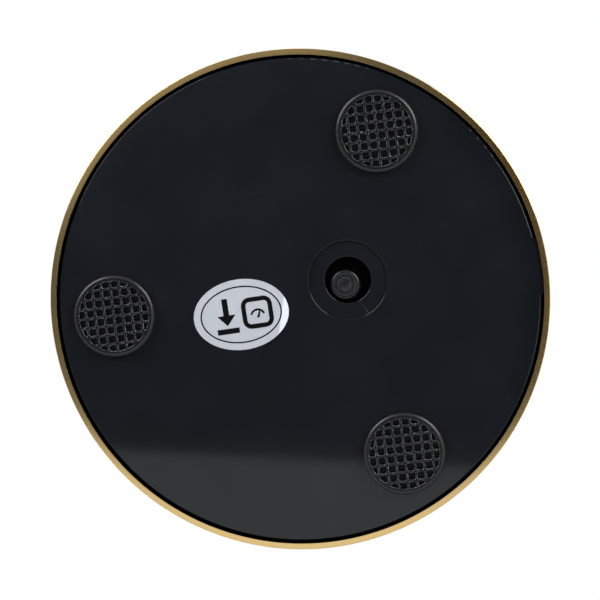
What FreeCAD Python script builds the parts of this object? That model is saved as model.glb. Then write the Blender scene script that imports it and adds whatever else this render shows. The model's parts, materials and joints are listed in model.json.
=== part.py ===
import FreeCAD, Part
import math
import os
from FreeCAD import Vector

# A round bathroom scale. A black moulded base stands on three rubber pads and carries three
# bar load cells. A steel tray, a gold rim and a glass top float on the cells as one platform.
# Millimetres. The pads stand on z = 0, +Z is up, and the display lies towards +Y.

# ---- Platform ----
overall_diameter = 260.0
rim_wall = 3.1
rim_gap = 1.4
rim_drop = 1.4
rim_chamfer = 0.5
rim_ledge_width = 7.9
rim_ledge_thickness = 2.5
rim_screw_count = 6
rim_screw_inset = 4.0
glass_thickness = 6.0
glass_proud = 0.3
glass_gap = 0.5
glass_chamfer = 0.8
film_thickness = 0.2
bond_thickness = 0.4
tray_thickness = 1.5
tray_gap = 0.4
platform_travel = 0.6
travel_reserve = 0.1

# ---- Base plate ----
base_wall = 2.6
base_edge_round = 0.8
rib_thickness = 1.6
rib_height = 4.4
radial_rib_angles = (-45.0, 0.0, 62.0, 118.0, 180.0, 225.0)
edge_rib_count = 24
rib_circle_inset = 13.5
radial_rib_length = 27.0
wall_inset = 2.0
wall_height = 7.0
fence_height = 1.6

# ---- Rubber foot pads ----
foot_angles = {"heel": -90.0, "right": 30.0, "left": 150.0}
foot_radius = 21.3
foot_height = 5.0
foot_recess = 1.0
foot_edge_margin = 7.7
foot_edge_round = 1.6
foot_seat_gap = 0.1
pocket_count = 8
pocket_pitch = 4.8
pocket_width = 3.6
pocket_corner = 0.6
pocket_depth = 2.8
pocket_field_radius = 18.2
pocket_turn = -2.0
pocket_least_share = 0.08

# ---- Bar load cells ----
cell_length = 54.0
cell_width = 14.0
cell_height = 7.0
cell_overhang = 9.5
cell_eye_radius = 2.4
cell_eye_spread = 4.5
cell_eye_slot = 1.6
pedestal_height = 2.0
pedestal_margin = 1.0
pedestal_inner_reach = 10.5
cell_fixed_screw_pitch = 12.0
cell_free_screw_pitch = 10.0
cell_free_screw_inset = 6.0
spacer_height = 2.0
spacer_length = 20.0
gauge_length = 12.0
gauge_width = 9.0
gauge_top_height = 0.7
gauge_bottom_height = 1.2
gauge_corner = 2.0

# ---- Screws ----
screw_gap = 0.05
thread_reserve = 0.5
m4_radius = 2.0
m4_head_radius = 3.9
m4_head_height = 2.2
m4_length = 9.8
thin_head_radius = 3.6
thin_head_height = 1.3
platform_screw_length = 9.0
m3_radius = 1.5
m3_head_radius = 2.9
m3_head_height = 1.3
board_screw_radius = 1.25
board_screw_head_radius = 2.3
board_screw_head_height = 1.2
board_screw_length = 6.5
small_screw_radius = 1.0
small_screw_head_radius = 1.8
small_screw_head_height = 1.2
small_boss_radius = 2.6
hex_across_corners = 2.6
hex_depth = 0.9

# ---- Unit button ----
dish_centre = Vector(8.35, 26.55, 0)
dish_radius = 20.4
dish_depth = 1.2
dish_lip = 0.5
well_radius = 12.1
well_wall = 1.5
well_floor = 1.4
well_depth = 6.0
well_lip = 0.4
button_offset = Vector(-2.55, -1.75, 0)
button_radius = 7.9
button_gap = 0.1
button_recess = 3.0
button_face = 1.6
button_skirt = 1.6
button_chamfer = 0.8
button_flange = 1.5
button_flange_thickness = 0.8
button_ring_radii = (3.2, 5.6)
button_ring_width = 0.3
button_ring_depth = 0.15
button_travel = 1.0
travel_clearance = 0.2
switch_width = 6.0
switch_height = 3.5
switch_corner = 0.5
switch_plunger_radius = 1.7
switch_bore_gap = 0.1
switch_bore_depth = 2.5
spring_wire_radius = 0.3
spring_mean_radius = 4.95
spring_turns = 3.5

# ---- Main board ----
board_centre = Vector(4.0, 22.0, 0)
board_width = 60.0
board_depth = 44.0
board_thickness = 1.6
board_corner = 2.0
board_screw_inset = 3.5
board_boss_radius = 3.0
socket_width = 8.0
socket_depth = 5.0
socket_height = 3.6
plug_width = 7.0
plug_depth = 5.0
plug_height = 3.0
ribbon_socket_height = 1.3
ribbon_socket_margin = 1.0
chip_height = 1.1
crystal_height = 0.9
inductor_height = 1.4

# Each chip on the main board: its place from the board's centre, its two sides and its height.
chips = {
    "controller": (Vector(-16.0, -8.0, 0), 7.0, 7.0, chip_height),
    "converter": (Vector(-16.0, 6.0, 0), 5.0, 4.0, chip_height),
    "memory": (Vector(14.0, -10.0, 0), 6.0, 5.0, chip_height),
    "regulator": (Vector(-4.0, -14.0, 0), 5.0, 4.0, chip_height),
    "crystal": (Vector(20.0, 6.0, 0), 3.2, 2.5, crystal_height),
    "first_inductor": (Vector(4.0, 16.0, 0), 4.0, 4.0, inductor_height),
    "second_inductor": (Vector(12.0, 16.0, 0), 4.0, 4.0, inductor_height),
}

# ---- Battery ----
battery_centre = Vector(-6.0, -27.0, 0)
battery_width = 50.0
battery_depth = 34.0
battery_height = 5.0
battery_corner = 2.0
tape_thickness = 0.4
tape_inset = 4.0
battery_gap = 0.4

# ---- Charging port ----
port_x = 7.5
port_width = 8.9
port_height = 3.2
port_depth = 7.3
port_shell = 0.3
port_back_wall = 1.0
port_mouth_inset = 0.8
port_slot_gap = 0.2
port_tongue_thickness = 0.7
port_tongue_width = 6.7
port_tongue_root = 0.5
port_tongue_inset = 0.8
port_end_flat = 0.01
lug_low_x = -7.4
lug_high_x = 22.0
lug_gap = 0.3
lug_wall = 2.0
lug_reach = 13.0
port_room_reach = 29.0
charge_board_thickness = 1.0
charge_board_width = 22.0
charge_board_depth = 21.0
charge_board_gap = 2.0
charge_board_lift = 1.2
charge_board_corner = 1.5
charger_chip_side = 4.0
charger_chip_offset = 4.0
charge_screw_spread = 8.5
charge_screw_inset = 5.0
charge_screw_length = 3.6
rim_window_width = 13.4
rim_window_height = 7.0
rim_window_corner = 3.0

# ---- Display ----
display_edge_margin = 31.4
display_window_width = 60.0
display_window_depth = 26.0
display_window_corner = 1.5
display_glass_width = 52.0
display_glass_depth = 18.0
display_frame_border = 3.0
display_frame_height = 4.4
display_frame_floor = 1.4
display_frame_corner = 2.5
display_room_corner = 0.8
display_board_corner = 0.6
display_screw_inset = 0.4
display_screw_reserve = 0.1
display_gap = 0.2
display_wall = 0.8
display_board_thickness = 1.2
display_panel_drop = 0.1
display_panel_inset = 1.0
ribbon_x = -14.0
ribbon_width = 10.0
ribbon_thickness = 0.3
ribbon_dip = 1.6
ribbon_dip_reach = 7.0
ribbon_notch_gap = 1.0

# ---- Overload stops ----
stop_posts = ((100.0, -30.0), (100.0, 210.0), (58.0, 90.0))
stop_post_radius = 4.0
stop_spigot_radius = 2.6
stop_spigot_height = 1.4
stop_cushion_radius = 4.5
stop_cushion_height = 2.4

# ---- Label ----
label_centre = Vector(-4.9, -30.3, 0)
label_length = 50.0
label_height = 36.8
label_thickness = 0.15
label_turn = 86.3

# ---- Leads ----
lead_radius = 0.7
lead_floor_gap = 0.1
lead_arc_share = 0.45
lead_exit_run = 10.0
plug_run = 6.0
battery_lead_y = -22.0
battery_lead_exit = 7.0
battery_lead_lift = 0.6
charge_lead_offset = 2.0
charge_lead_overlap = 3.0
charge_lead_exit = 4.0
charge_lead_lift = 0.2

# Where each lead runs: the cells' leads on the base, the others beside the part they start from.
cell_lead_routes = {
    "heel": (Vector(25.0, -68.0, 0), Vector(24.3, -44.0, 0), Vector(24.8, -20.0, 0)),
    "right": (Vector(66.0, 17.0, 0), Vector(54.0, 11.5, 0)),
    "left": (Vector(-66.0, 17.0, 0), Vector(-47.0, 14.5, 0)),
}
battery_lead_route = (Vector(-11.0, -13.0, 0), Vector(-11.5, 3.0, 0))
charge_lead_route = (Vector(5.0, -13.0, 0), Vector(11.0, -25.0, 0), Vector(15.5, -36.0, 0))

# ---- Modelling ----
edge_tolerance = 0.01
cutter_reach = 1.0

# ---- Derived radii ----
rim_radius = overall_diameter / 2
rim_bore = rim_radius - rim_wall
base_radius = rim_bore - rim_gap
tray_radius = rim_bore - tray_gap
glass_radius = rim_bore - glass_gap
ledge_bore = rim_bore - rim_ledge_width
rim_screw_circle = ledge_bore + rim_screw_inset
wall_radius = base_radius - wall_inset
lug_radius = rim_bore - lug_gap
rib_circle = base_radius - rib_circle_inset
foot_circle = base_radius - foot_edge_margin - foot_radius
cell_outer = foot_circle + cell_overhang
cell_inner = cell_outer - cell_length
cell_fixed_screws = (foot_circle - cell_fixed_screw_pitch / 2, foot_circle + cell_fixed_screw_pitch / 2)
cell_free_screws = (cell_inner + cell_free_screw_inset,
                    cell_inner + cell_free_screw_inset + cell_free_screw_pitch)
gauge_circle = (cell_fixed_screws[0] + cell_free_screws[1]) / 2
port_mouth = lug_radius - port_mouth_inset
display_centre = Vector(0, rim_bore - display_edge_margin - display_window_depth / 2, 0)
button_centre = dish_centre.add(button_offset)

# ---- Derived levels ----
z_base = foot_height - foot_recess
z_floor = z_base + base_wall
z_wall_top = z_floor + wall_height
z_cell = z_floor + pedestal_height
z_cell_top = z_cell + cell_height
z_tray = z_cell_top + spacer_height
z_tray_top = z_tray + tray_thickness
z_film = z_tray_top + bond_thickness
z_glass = z_film + film_thickness
z_glass_top = z_glass + glass_thickness
z_rim = z_base - rim_drop
z_rim_top = z_glass_top - glass_proud
z_ledge = z_tray - rim_ledge_thickness
z_stop_top = z_tray - platform_travel - travel_reserve
z_stop_post = z_stop_top - stop_cushion_height
z_well_floor = z_base + well_depth
z_well_top = z_well_floor + well_floor
z_button = z_base + button_recess
z_button_back = z_button + button_face
z_flange_top = z_well_top + button_flange_thickness
z_board = z_flange_top + button_travel + travel_clearance
z_board_top = z_board + board_thickness
z_switch = z_board - switch_height
z_socket = z_board - socket_height
z_plug_mid = z_board - socket_height / 2
z_charge_board = z_floor + charge_board_lift
z_charge_top = z_charge_board + charge_board_thickness
z_port_mid = z_charge_top + port_height / 2
z_display_frame = z_tray - display_frame_height
z_display_board = z_display_frame + display_frame_floor
z_display_panel = z_display_board + display_board_thickness
z_ribbon = z_display_board + display_board_thickness / 2
z_lead = z_floor + lead_floor_gap + lead_radius

# ---- Main board edges ----
board_left = board_centre.x - board_width / 2
board_right = board_centre.x + board_width / 2
board_front = board_centre.y - board_depth / 2
board_back = board_centre.y + board_depth / 2

# Each plug on the main board: where it meets the board's edge, and which way it faces.
board_plugs = {
    "heel": (Vector(22.0, board_front, 0), Vector(0, -1, 0)),
    "right": (Vector(board_right, 14.0, 0), Vector(1, 0, 0)),
    "left": (Vector(board_left, 26.0, 0), Vector(-1, 0, 0)),
    "battery": (Vector(board_left, 13.0, 0), Vector(-1, 0, 0)),
    "charge": (Vector(22.0, board_back, 0), Vector(0, 1, 0)),
}

UP = Vector(0, 0, 1)
DOWN = Vector(0, 0, -1)


def at_height(point, z):
    return Vector(point.x, point.y, z)


def polar(radius, angle, z=0.0):
    turn = math.radians(angle)
    return Vector(radius * math.cos(turn), radius * math.sin(turn), z)


def disc(radius, z_low, z_high, centre=Vector()):
    return Part.makeCylinder(radius, z_high - z_low, at_height(centre, z_low))


def hoop(outer, inner, z_low, z_high, centre=Vector()):
    return disc(outer, z_low, z_high, centre).cut(disc(inner, z_low, z_high, centre))


def block(centre, size_x, size_y, z_low, z_high):
    corner = Vector(centre.x - size_x / 2, centre.y - size_y / 2, z_low)
    return Part.makeBox(size_x, size_y, z_high - z_low, corner)


def rounded_block(centre, size_x, size_y, z_low, z_high, corner):
    """A block whose upright edges are rounded."""
    box = block(centre, size_x, size_y, z_low, z_high)
    upright = [edge for edge in box.Edges if abs(edge.tangentAt(edge.FirstParameter).z) > 0.5]
    return box.makeFillet(corner, upright)


def radial_block(angle, r_low, r_high, width, z_low, z_high):
    """A block that lies along a radius of the scale."""
    bar = block(Vector((r_low + r_high) / 2, 0, 0), r_high - r_low, width, z_low, z_high)
    bar.rotate(Vector(), UP, angle)
    return bar


def turned(centre, outline):
    """The solid that a closed outline of (radius, height) points or edges sweeps about centre."""
    face = Part.Face(Part.Wire(outline))
    solid = face.revolve(Vector(), UP, 360)
    solid.translate(at_height(centre, 0))
    return solid


def line(start, end):
    return Part.makeLine(Vector(start[0], 0, start[1]), Vector(end[0], 0, end[1]))


def polygon(points):
    return [line(a, b) for a, b in zip(points, points[1:] + points[:1])]


def recess_cutter(centre, radius, z_mouth, z_end, lip):
    """Cuts a round recess upwards from z_mouth, with a rounded lip."""
    below = z_mouth - cutter_reach
    side = radius + lip
    arc = Part.Arc(Vector(side, 0, z_mouth),
                   Vector(side - lip * math.sin(math.pi / 4), 0, z_mouth + lip * (1 - math.cos(math.pi / 4))),
                   Vector(radius, 0, z_mouth + lip)).toShape()
    return turned(centre, [
        line((0, below), (side, below)),
        line((side, below), (side, z_mouth)),
        arc,
        line((radius, z_mouth + lip), (radius, z_end)),
        line((radius, z_end), (0, z_end)),
        line((0, z_end), (0, below)),
    ])


def hex_socket(face_centre, direction):
    corners = [polar(hex_across_corners / 2, 60 * k) for k in range(7)]
    key = Part.Face(Part.makePolygon(corners)).extrude(Vector(0, 0, direction.z * hex_depth))
    key.translate(face_centre)
    return key


def countersunk(face_centre, direction, head_radius, head_height, shank_radius, length):
    """A countersunk form: the flat of its head is at face_centre, and it points along direction."""
    head = Part.makeCone(head_radius, shank_radius, head_height, face_centre, direction)
    return head.fuse(Part.makeCylinder(shank_radius, length, face_centre, direction))


def countersunk_screw(face_centre, direction, head_radius, head_height, shank_radius, length):
    screw = countersunk(face_centre, direction, head_radius, head_height, shank_radius, length)
    return screw.cut(hex_socket(face_centre, direction))


def pan_screw(seat, direction, head_radius, head_height, shank_radius, length):
    """A pan-head screw whose head rests on seat and whose shank points along direction."""
    back = Vector(0, 0, -direction.z * head_height)
    head = Part.makeCylinder(head_radius, head_height, seat.add(back), direction)
    shank = Part.makeCylinder(shank_radius, length, seat, direction)
    return head.fuse(shank).cut(hex_socket(seat.add(back), direction))


def lead(name, points, radius):
    """A round lead along straight runs joined by tangent arcs."""
    edges = []
    length = 0.0
    start = points[0]
    for before, corner, after in zip(points, points[1:], points[2:]):
        into = corner.sub(before)
        out = after.sub(corner)
        half_turn = into.getAngle(out) / 2
        setback = lead_arc_share * min(into.Length, out.Length)
        bend = setback / math.tan(half_turn)
        into.normalize()
        out.normalize()
        inward = out.sub(into)
        inward.normalize()
        arc_start = corner.sub(into.multiply(setback))
        arc_end = corner.add(out.multiply(setback))
        arc_middle = corner.add(inward.multiply(bend / math.cos(half_turn) - bend))
        edges.append(Part.makeLine(start, arc_start))
        edges.append(Part.Arc(arc_start, arc_middle, arc_end).toShape())
        length += start.distanceToPoint(arc_start) + 2 * half_turn * bend
        start = arc_end
        print(f"{name}: bend radius {bend:.1f}")
    edges.append(Part.makeLine(start, points[-1]))
    length += start.distanceToPoint(points[-1])
    section = Part.Wire([Part.makeCircle(radius, points[0], points[1].sub(points[0]))])
    solid = Part.Wire(edges).makePipeShell([section], True, True)
    print(f"{name}: length {length:.1f}, volume ratio {solid.Volume / (math.pi * radius ** 2 * length):.4f}")
    return solid


# ---- Base plate ----

def foot_centre(name):
    return polar(foot_circle, foot_angles[name])


def base_floor():
    plate = disc(base_radius, z_base, z_floor)
    edge = [e for e in plate.Edges if abs(e.BoundBox.ZMax - z_base) < edge_tolerance and len(e.Vertexes) == 1]
    plate = plate.makeFillet(base_edge_round, edge)
    return plate.fuse(hoop(wall_radius, wall_radius - wall_inset, z_floor, z_wall_top))


def port_lug():
    """The part of the base's edge that reaches out to the rim and holds the charging port."""
    across = (lug_low_x + lug_high_x) / 2
    wide = block(Vector(across, rim_bore, 0), lug_high_x - lug_low_x, 2 * lug_reach, z_base, z_wall_top)
    return disc(lug_radius, z_base, z_wall_top).common(wide)


def port_room():
    """The free space behind the lug's front wall, where the charging board lies."""
    across = (lug_low_x + lug_high_x) / 2
    room = block(Vector(across, rim_bore - port_room_reach / 2, 0), lug_high_x - lug_low_x - 2 * lug_wall,
                 port_room_reach, z_floor, z_wall_top)
    return disc(lug_radius - lug_wall, z_floor, z_wall_top).common(room)


def port_slot():
    """The slot in the lug's front wall that the port's shell looks out of."""
    slot = rounded_block(Vector(), port_width + 2 * port_slot_gap, port_height + 2 * port_slot_gap,
                         0, 2 * lug_wall + lug_gap, port_height / 2)
    slot.rotate(Vector(), Vector(1, 0, 0), -90)
    slot.translate(Vector(port_x, lug_radius - 2 * lug_wall, z_port_mid))
    return slot


def pedestal(angle):
    outer = cell_outer + pedestal_margin
    inner = foot_circle - pedestal_inner_reach
    return radial_block(angle, inner, outer, cell_width + 2 * pedestal_margin, z_floor, z_cell)


def board_screw_points():
    reach_x = board_width / 2 - board_screw_inset
    reach_y = board_depth / 2 - board_screw_inset
    return [board_centre.add(Vector(sx * reach_x, sy * reach_y, 0)) for sx in (-1, 1) for sy in (-1, 1)]


def charge_board_back():
    return lug_radius - lug_wall - charge_board_gap


def charge_screw_points():
    y = charge_board_back() - charge_board_depth + charge_screw_inset
    return [Vector(port_x + side * charge_screw_spread, y, 0) for side in (-1, 1)]


def stop_points():
    return [polar(radius, angle) for radius, angle in stop_posts]


def base_ribs():
    ribs = [hoop(rib_circle + rib_thickness / 2, rib_circle - rib_thickness / 2, z_floor, z_floor + rib_height)]
    for angle in radial_rib_angles:
        ribs.append(radial_block(angle, rib_circle - radial_rib_length, rib_circle, rib_thickness,
                                 z_floor, z_floor + rib_height))
    for step in range(edge_rib_count):
        ribs.append(radial_block(360.0 / edge_rib_count * (step + 0.5), rib_circle, wall_radius - wall_inset / 2,
                                 rib_thickness, z_floor, z_floor + rib_height))
    return ribs


def battery_fence():
    wide = battery_width + 2 * battery_gap
    deep = battery_depth + 2 * battery_gap
    outside = block(battery_centre, wide + 2 * rib_thickness, deep + 2 * rib_thickness,
                    z_floor, z_floor + fence_height)
    return outside.cut(block(battery_centre, wide, deep, z_floor, z_floor + fence_height))


def base_plate():
    body = base_floor()
    extras = base_ribs()
    extras.append(battery_fence())
    extras.append(disc(well_radius + well_wall, z_base + dish_depth, z_well_top, dish_centre))
    for angle in foot_angles.values():
        extras.append(pedestal(angle))
    for point in board_screw_points():
        extras.append(disc(board_boss_radius, z_floor, z_board, point))
    for point in stop_points():
        extras.append(disc(stop_post_radius, z_floor, z_stop_post, point))
        extras.append(disc(stop_spigot_radius, z_stop_post, z_stop_post + stop_spigot_height, point))
    body = body.fuse(extras)
    body = body.fuse(port_lug()).cut(port_room())
    body = body.fuse([disc(small_boss_radius, z_floor, z_charge_board, p) for p in charge_screw_points()])
    cuts = [recess_cutter(dish_centre, dish_radius, z_base, z_base + dish_depth, dish_lip),
            recess_cutter(dish_centre, well_radius, z_base + dish_depth, z_well_floor, well_lip),
            disc(button_radius + button_gap, z_well_floor, z_well_top, button_centre),
            port_slot()]
    for name, angle in foot_angles.items():
        cuts.append(disc(foot_radius + foot_seat_gap, z_base, z_base + foot_recess, foot_centre(name)))
        for radius in cell_fixed_screws:
            cuts.append(countersunk(polar(radius, angle, z_base + foot_recess), UP,
                                    m4_head_radius + screw_gap, m4_head_height + screw_gap,
                                    m4_radius + screw_gap, m4_length + screw_gap))
    for point in board_screw_points():
        cuts.append(disc(board_screw_radius + screw_gap, z_board_top - board_screw_length - thread_reserve,
                         z_board, point))
    for point in charge_screw_points():
        cuts.append(disc(small_screw_radius + screw_gap, z_charge_top - charge_screw_length - thread_reserve,
                         z_charge_board, point))
    return body.cut(cuts).removeSplitter()


# ---- Foot pads ----

def pocket_field():
    """The square pockets of a pad's tread, trimmed to a round field."""
    pockets = []
    field = disc(pocket_field_radius, 0, pocket_depth)
    middle = (pocket_count - 1) / 2
    for row in range(pocket_count):
        for column in range(pocket_count):
            centre = Vector((column - middle) * pocket_pitch, (row - middle) * pocket_pitch, 0)
            pocket = rounded_block(centre, pocket_width, pocket_width, 0, pocket_depth, pocket_corner)
            trimmed = pocket.common(field)
            if trimmed.Volume > pocket_least_share * pocket.Volume:
                pockets.append(trimmed)
    return pockets


def foot_pad(name, pockets):
    pad = disc(foot_radius, 0, foot_height)
    edge = [e for e in pad.Edges if e.BoundBox.ZMax < edge_tolerance and len(e.Vertexes) == 1]
    pad = pad.makeFillet(foot_edge_round, edge).cut(pockets)
    pad.rotate(Vector(), UP, pocket_turn)
    pad.translate(foot_centre(name))
    return pad


# ---- Load cells ----

def load_cell(angle):
    """A bar cell: fixed to its pedestal over the pad, free at its inner end."""
    bar = block(Vector((cell_inner + cell_outer) / 2, 0, 0), cell_length, cell_width, z_cell, z_cell_top)
    cuts = []
    middle = (z_cell + z_cell_top) / 2
    for side in (-1, 1):
        start = Vector(gauge_circle + side * cell_eye_spread, -cell_width, middle)
        cuts.append(Part.makeCylinder(cell_eye_radius, 2 * cell_width, start, Vector(0, 1, 0)))
    cuts.append(block(Vector(gauge_circle, 0, 0), 2 * cell_eye_spread, 2 * cell_width,
                      middle - cell_eye_slot / 2, middle + cell_eye_slot / 2))
    for radius in cell_fixed_screws + cell_free_screws:
        cuts.append(disc(m4_radius + screw_gap, z_cell, z_cell_top, Vector(radius, 0, 0)))
    bar = bar.cut(cuts)
    bar.rotate(Vector(), UP, angle)
    return bar


def cell_gauges():
    """The silicone that covers the strain gauges on the top and bottom of each cell."""
    covers = []
    for angle in foot_angles.values():
        for z_low, z_high in ((z_cell_top, z_cell_top + gauge_top_height), (z_cell - gauge_bottom_height, z_cell)):
            cover = rounded_block(Vector(gauge_circle, 0, 0), gauge_length, gauge_width, z_low, z_high, gauge_corner)
            cover.rotate(Vector(), UP, angle)
            covers.append(cover)
    return Part.makeCompound(covers)


def cell_base_screws():
    return Part.makeCompound([
        countersunk_screw(polar(radius, angle, z_base + foot_recess), UP,
                          m4_head_radius, m4_head_height, m4_radius, m4_length)
        for angle in foot_angles.values() for radius in cell_fixed_screws])


def cell_spacers():
    spacers = []
    for angle in foot_angles.values():
        spacer = radial_block(angle, cell_inner, cell_inner + spacer_length, cell_width, z_cell_top, z_tray)
        spacers.append(spacer.cut([disc(m4_radius + screw_gap, z_cell_top, z_tray, polar(radius, angle))
                                   for radius in cell_free_screws]))
    return Part.makeCompound(spacers)


# ---- Platform ----

def rim_ring():
    c = rim_chamfer
    ring = turned(Vector(), polygon([
        (rim_bore + c / 2, z_rim),
        (rim_radius - c, z_rim),
        (rim_radius, z_rim + c),
        (rim_radius, z_rim_top - c),
        (rim_radius - c, z_rim_top),
        (rim_bore + c / 2, z_rim_top),
        (rim_bore, z_rim_top - c / 2),
        (rim_bore, z_tray),
        (ledge_bore, z_tray),
        (ledge_bore, z_ledge),
        (rim_bore, z_ledge),
        (rim_bore, z_rim + c / 2),
    ]))
    window = rounded_block(Vector(), rim_window_width, rim_window_height, 0, 3 * rim_wall, rim_window_corner)
    window.rotate(Vector(), Vector(1, 0, 0), -90)
    window.translate(Vector(port_x, rim_bore - rim_wall, z_port_mid))
    holes = [disc(m3_radius + screw_gap, z_ledge, z_tray, point) for point in rim_screw_points()]
    return ring.cut([window] + holes)


def rim_screw_points():
    return [polar(rim_screw_circle, 360.0 / rim_screw_count * k) for k in range(rim_screw_count)]


def platform_tray():
    tray = disc(tray_radius, z_tray, z_tray_top)
    cuts = [rounded_block(display_centre, display_window_width, display_window_depth, z_tray, z_tray_top,
                          display_window_corner)]
    for point in rim_screw_points():
        cuts.append(countersunk(at_height(point, z_tray_top), DOWN, m3_head_radius + screw_gap,
                                m3_head_height, m3_radius + screw_gap, tray_thickness))
    for angle in foot_angles.values():
        for radius in cell_free_screws:
            cuts.append(countersunk(polar(radius, angle, z_tray_top), DOWN, thin_head_radius + screw_gap,
                                    thin_head_height, m4_radius + screw_gap, tray_thickness))
    for point in display_screw_points():
        cuts.append(disc(small_screw_radius + screw_gap, z_tray, z_tray_top, point))
    return tray.cut(cuts)


def tray_rim_screws():
    length = tray_thickness + rim_ledge_thickness
    return Part.makeCompound([
        countersunk_screw(at_height(point, z_tray_top), DOWN, m3_head_radius, m3_head_height, m3_radius, length)
        for point in rim_screw_points()])


def platform_screws():
    return Part.makeCompound([
        countersunk_screw(polar(radius, angle, z_tray_top), DOWN,
                          thin_head_radius, thin_head_height, m4_radius, platform_screw_length)
        for angle in foot_angles.values() for radius in cell_free_screws])


def glass_top():
    c = glass_chamfer
    return turned(Vector(), polygon([
        (0, z_glass),
        (glass_radius - c / 2, z_glass),
        (glass_radius, z_glass + c / 2),
        (glass_radius, z_glass_top - c),
        (glass_radius - c, z_glass_top),
        (0, z_glass_top),
    ]))


def sheet_with_window(z_low, z_high, width, depth):
    sheet = disc(glass_radius - glass_chamfer, z_low, z_high)
    return sheet.cut(rounded_block(display_centre, width, depth, z_low, z_high, display_window_corner))


# ---- Display ----

def display_screw_points():
    reach_x = display_window_width / 2 + display_frame_border / 2 - display_screw_inset
    reach_y = display_window_depth / 2 + display_frame_border / 2 - display_screw_inset
    return [display_centre.add(Vector(sx * reach_x, sy * reach_y, 0)) for sx in (-1, 1) for sy in (-1, 1)]


def display_frame():
    """A shallow cup under the tray that holds the display board up in the tray's window."""
    wide = display_window_width + 2 * display_frame_border
    deep = display_window_depth + 2 * display_frame_border
    room_wide = display_window_width - 2 * display_wall + 2 * display_gap
    room_deep = display_window_depth - 2 * display_wall + 2 * display_gap
    cup = rounded_block(display_centre, wide, deep, z_display_frame, z_tray, display_frame_corner)
    notch_centre = Vector(ribbon_x, display_centre.y - deep / 2, 0)
    cuts = [rounded_block(display_centre, room_wide, room_deep, z_display_board, z_tray, display_room_corner),
            block(notch_centre, ribbon_width + 2 * ribbon_notch_gap, deep / 2, z_display_board, z_tray)]
    for point in display_screw_points():
        cuts.append(disc(small_screw_radius + screw_gap, z_display_frame, z_tray, point))
    return cup.cut(cuts)


def display_board():
    wide = display_window_width - 2 * display_wall
    deep = display_window_depth - 2 * display_wall
    return rounded_block(display_centre, wide, deep, z_display_board, z_display_panel, display_board_corner)


def display_panel():
    """The diffuser block over the digits, lying in the tray's window."""
    wide = display_window_width - 2 * display_wall - 2 * display_panel_inset
    deep = display_window_depth - 2 * display_wall - 2 * display_panel_inset
    return rounded_block(display_centre, wide, deep, z_display_panel, z_tray_top - display_panel_drop,
                         display_board_corner)


def display_screws():
    length = display_frame_height + tray_thickness - display_screw_reserve
    return Part.makeCompound([
        pan_screw(at_height(point, z_display_frame), UP, small_screw_head_radius, small_screw_head_height,
                  small_screw_radius, length)
        for point in display_screw_points()])


def display_cable():
    """A flat ribbon from the display board to the main board, with a slack dip."""
    start = display_centre.y - display_window_depth / 2 + display_wall
    end = board_back
    middle = (start + end) / 2
    stops = [(start, z_ribbon), (middle + ribbon_dip_reach, z_ribbon), (middle, z_ribbon - ribbon_dip),
             (middle - ribbon_dip_reach, z_ribbon), (end, z_ribbon)]
    half = ribbon_thickness / 2
    upper = [Vector(ribbon_x - ribbon_width / 2, y, z + half) for y, z in stops]
    lower = [Vector(ribbon_x - ribbon_width / 2, y, z - half) for y, z in reversed(stops)]
    outline = Part.makePolygon(upper + lower + upper[:1])
    return Part.Face(outline).extrude(Vector(ribbon_width, 0, 0))


# ---- Electronics ----

def main_board():
    board = rounded_block(board_centre, board_width, board_depth, z_board, z_board_top, board_corner)
    return board.cut([disc(board_screw_radius + screw_gap, z_board, z_board_top, point)
                      for point in board_screw_points()])


def board_screws():
    return Part.makeCompound([
        pan_screw(at_height(point, z_board_top), DOWN, board_screw_head_radius, board_screw_head_height,
                  board_screw_radius, board_screw_length)
        for point in board_screw_points()])


def edge_block(place, facing, width, depth, z_low, z_high):
    """A block that stands outwards from a point on the board's edge, along facing."""
    centre = place.add(Vector(facing).multiply(depth / 2))
    size_x = depth if abs(facing.x) > 0.5 else width
    size_y = depth if abs(facing.y) > 0.5 else width
    return block(centre, size_x, size_y, z_low, z_high)


def board_sockets():
    sockets = [edge_block(place, Vector(facing).multiply(-1), socket_width, socket_depth, z_socket, z_board)
               for place, facing in board_plugs.values()]
    ribbon_place = Vector(ribbon_x, board_back, 0)
    ribbon_socket = edge_block(ribbon_place, Vector(0, -1, 0), ribbon_width + 2 * ribbon_socket_margin, socket_depth,
                               z_board_top, z_board_top + ribbon_socket_height)
    return Part.makeCompound(sockets + [ribbon_socket])


def lead_plugs():
    return Part.makeCompound([
        edge_block(place, facing, plug_width, plug_depth, z_plug_mid - plug_height / 2, z_plug_mid + plug_height / 2)
        for place, facing in board_plugs.values()])


def board_chips():
    """What stands on top of the main board, and the charger's chip on the charging board."""
    made = [block(board_centre.add(place), wide, deep, z_board_top, z_board_top + tall)
            for place, wide, deep, tall in chips.values()]
    charger_centre = Vector(port_x - charger_chip_offset, charge_board_back() - charge_board_depth / 2, 0)
    made.append(block(charger_centre, charger_chip_side, charger_chip_side,
                      z_charge_top, z_charge_top + crystal_height))
    return Part.makeCompound(made)


def battery_pack():
    z_low = z_floor + tape_thickness
    pack = rounded_block(battery_centre, battery_width, battery_depth, z_low, z_low + battery_height,
                         battery_corner)
    level = [e for e in pack.Edges if e.BoundBox.ZLength < edge_tolerance]
    return pack.makeFillet(battery_corner / 2, level)


def battery_tape():
    return block(battery_centre, battery_width - 2 * tape_inset, battery_depth - 2 * tape_inset,
                 z_floor, z_floor + tape_thickness)


def charge_board():
    back = charge_board_back()
    board = rounded_block(Vector(port_x, back - charge_board_depth / 2, 0), charge_board_width,
                          charge_board_depth, z_charge_board, z_charge_top, charge_board_corner)
    return board.cut([disc(small_screw_radius + screw_gap, z_charge_board, z_charge_top, point)
                      for point in charge_screw_points()])


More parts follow.
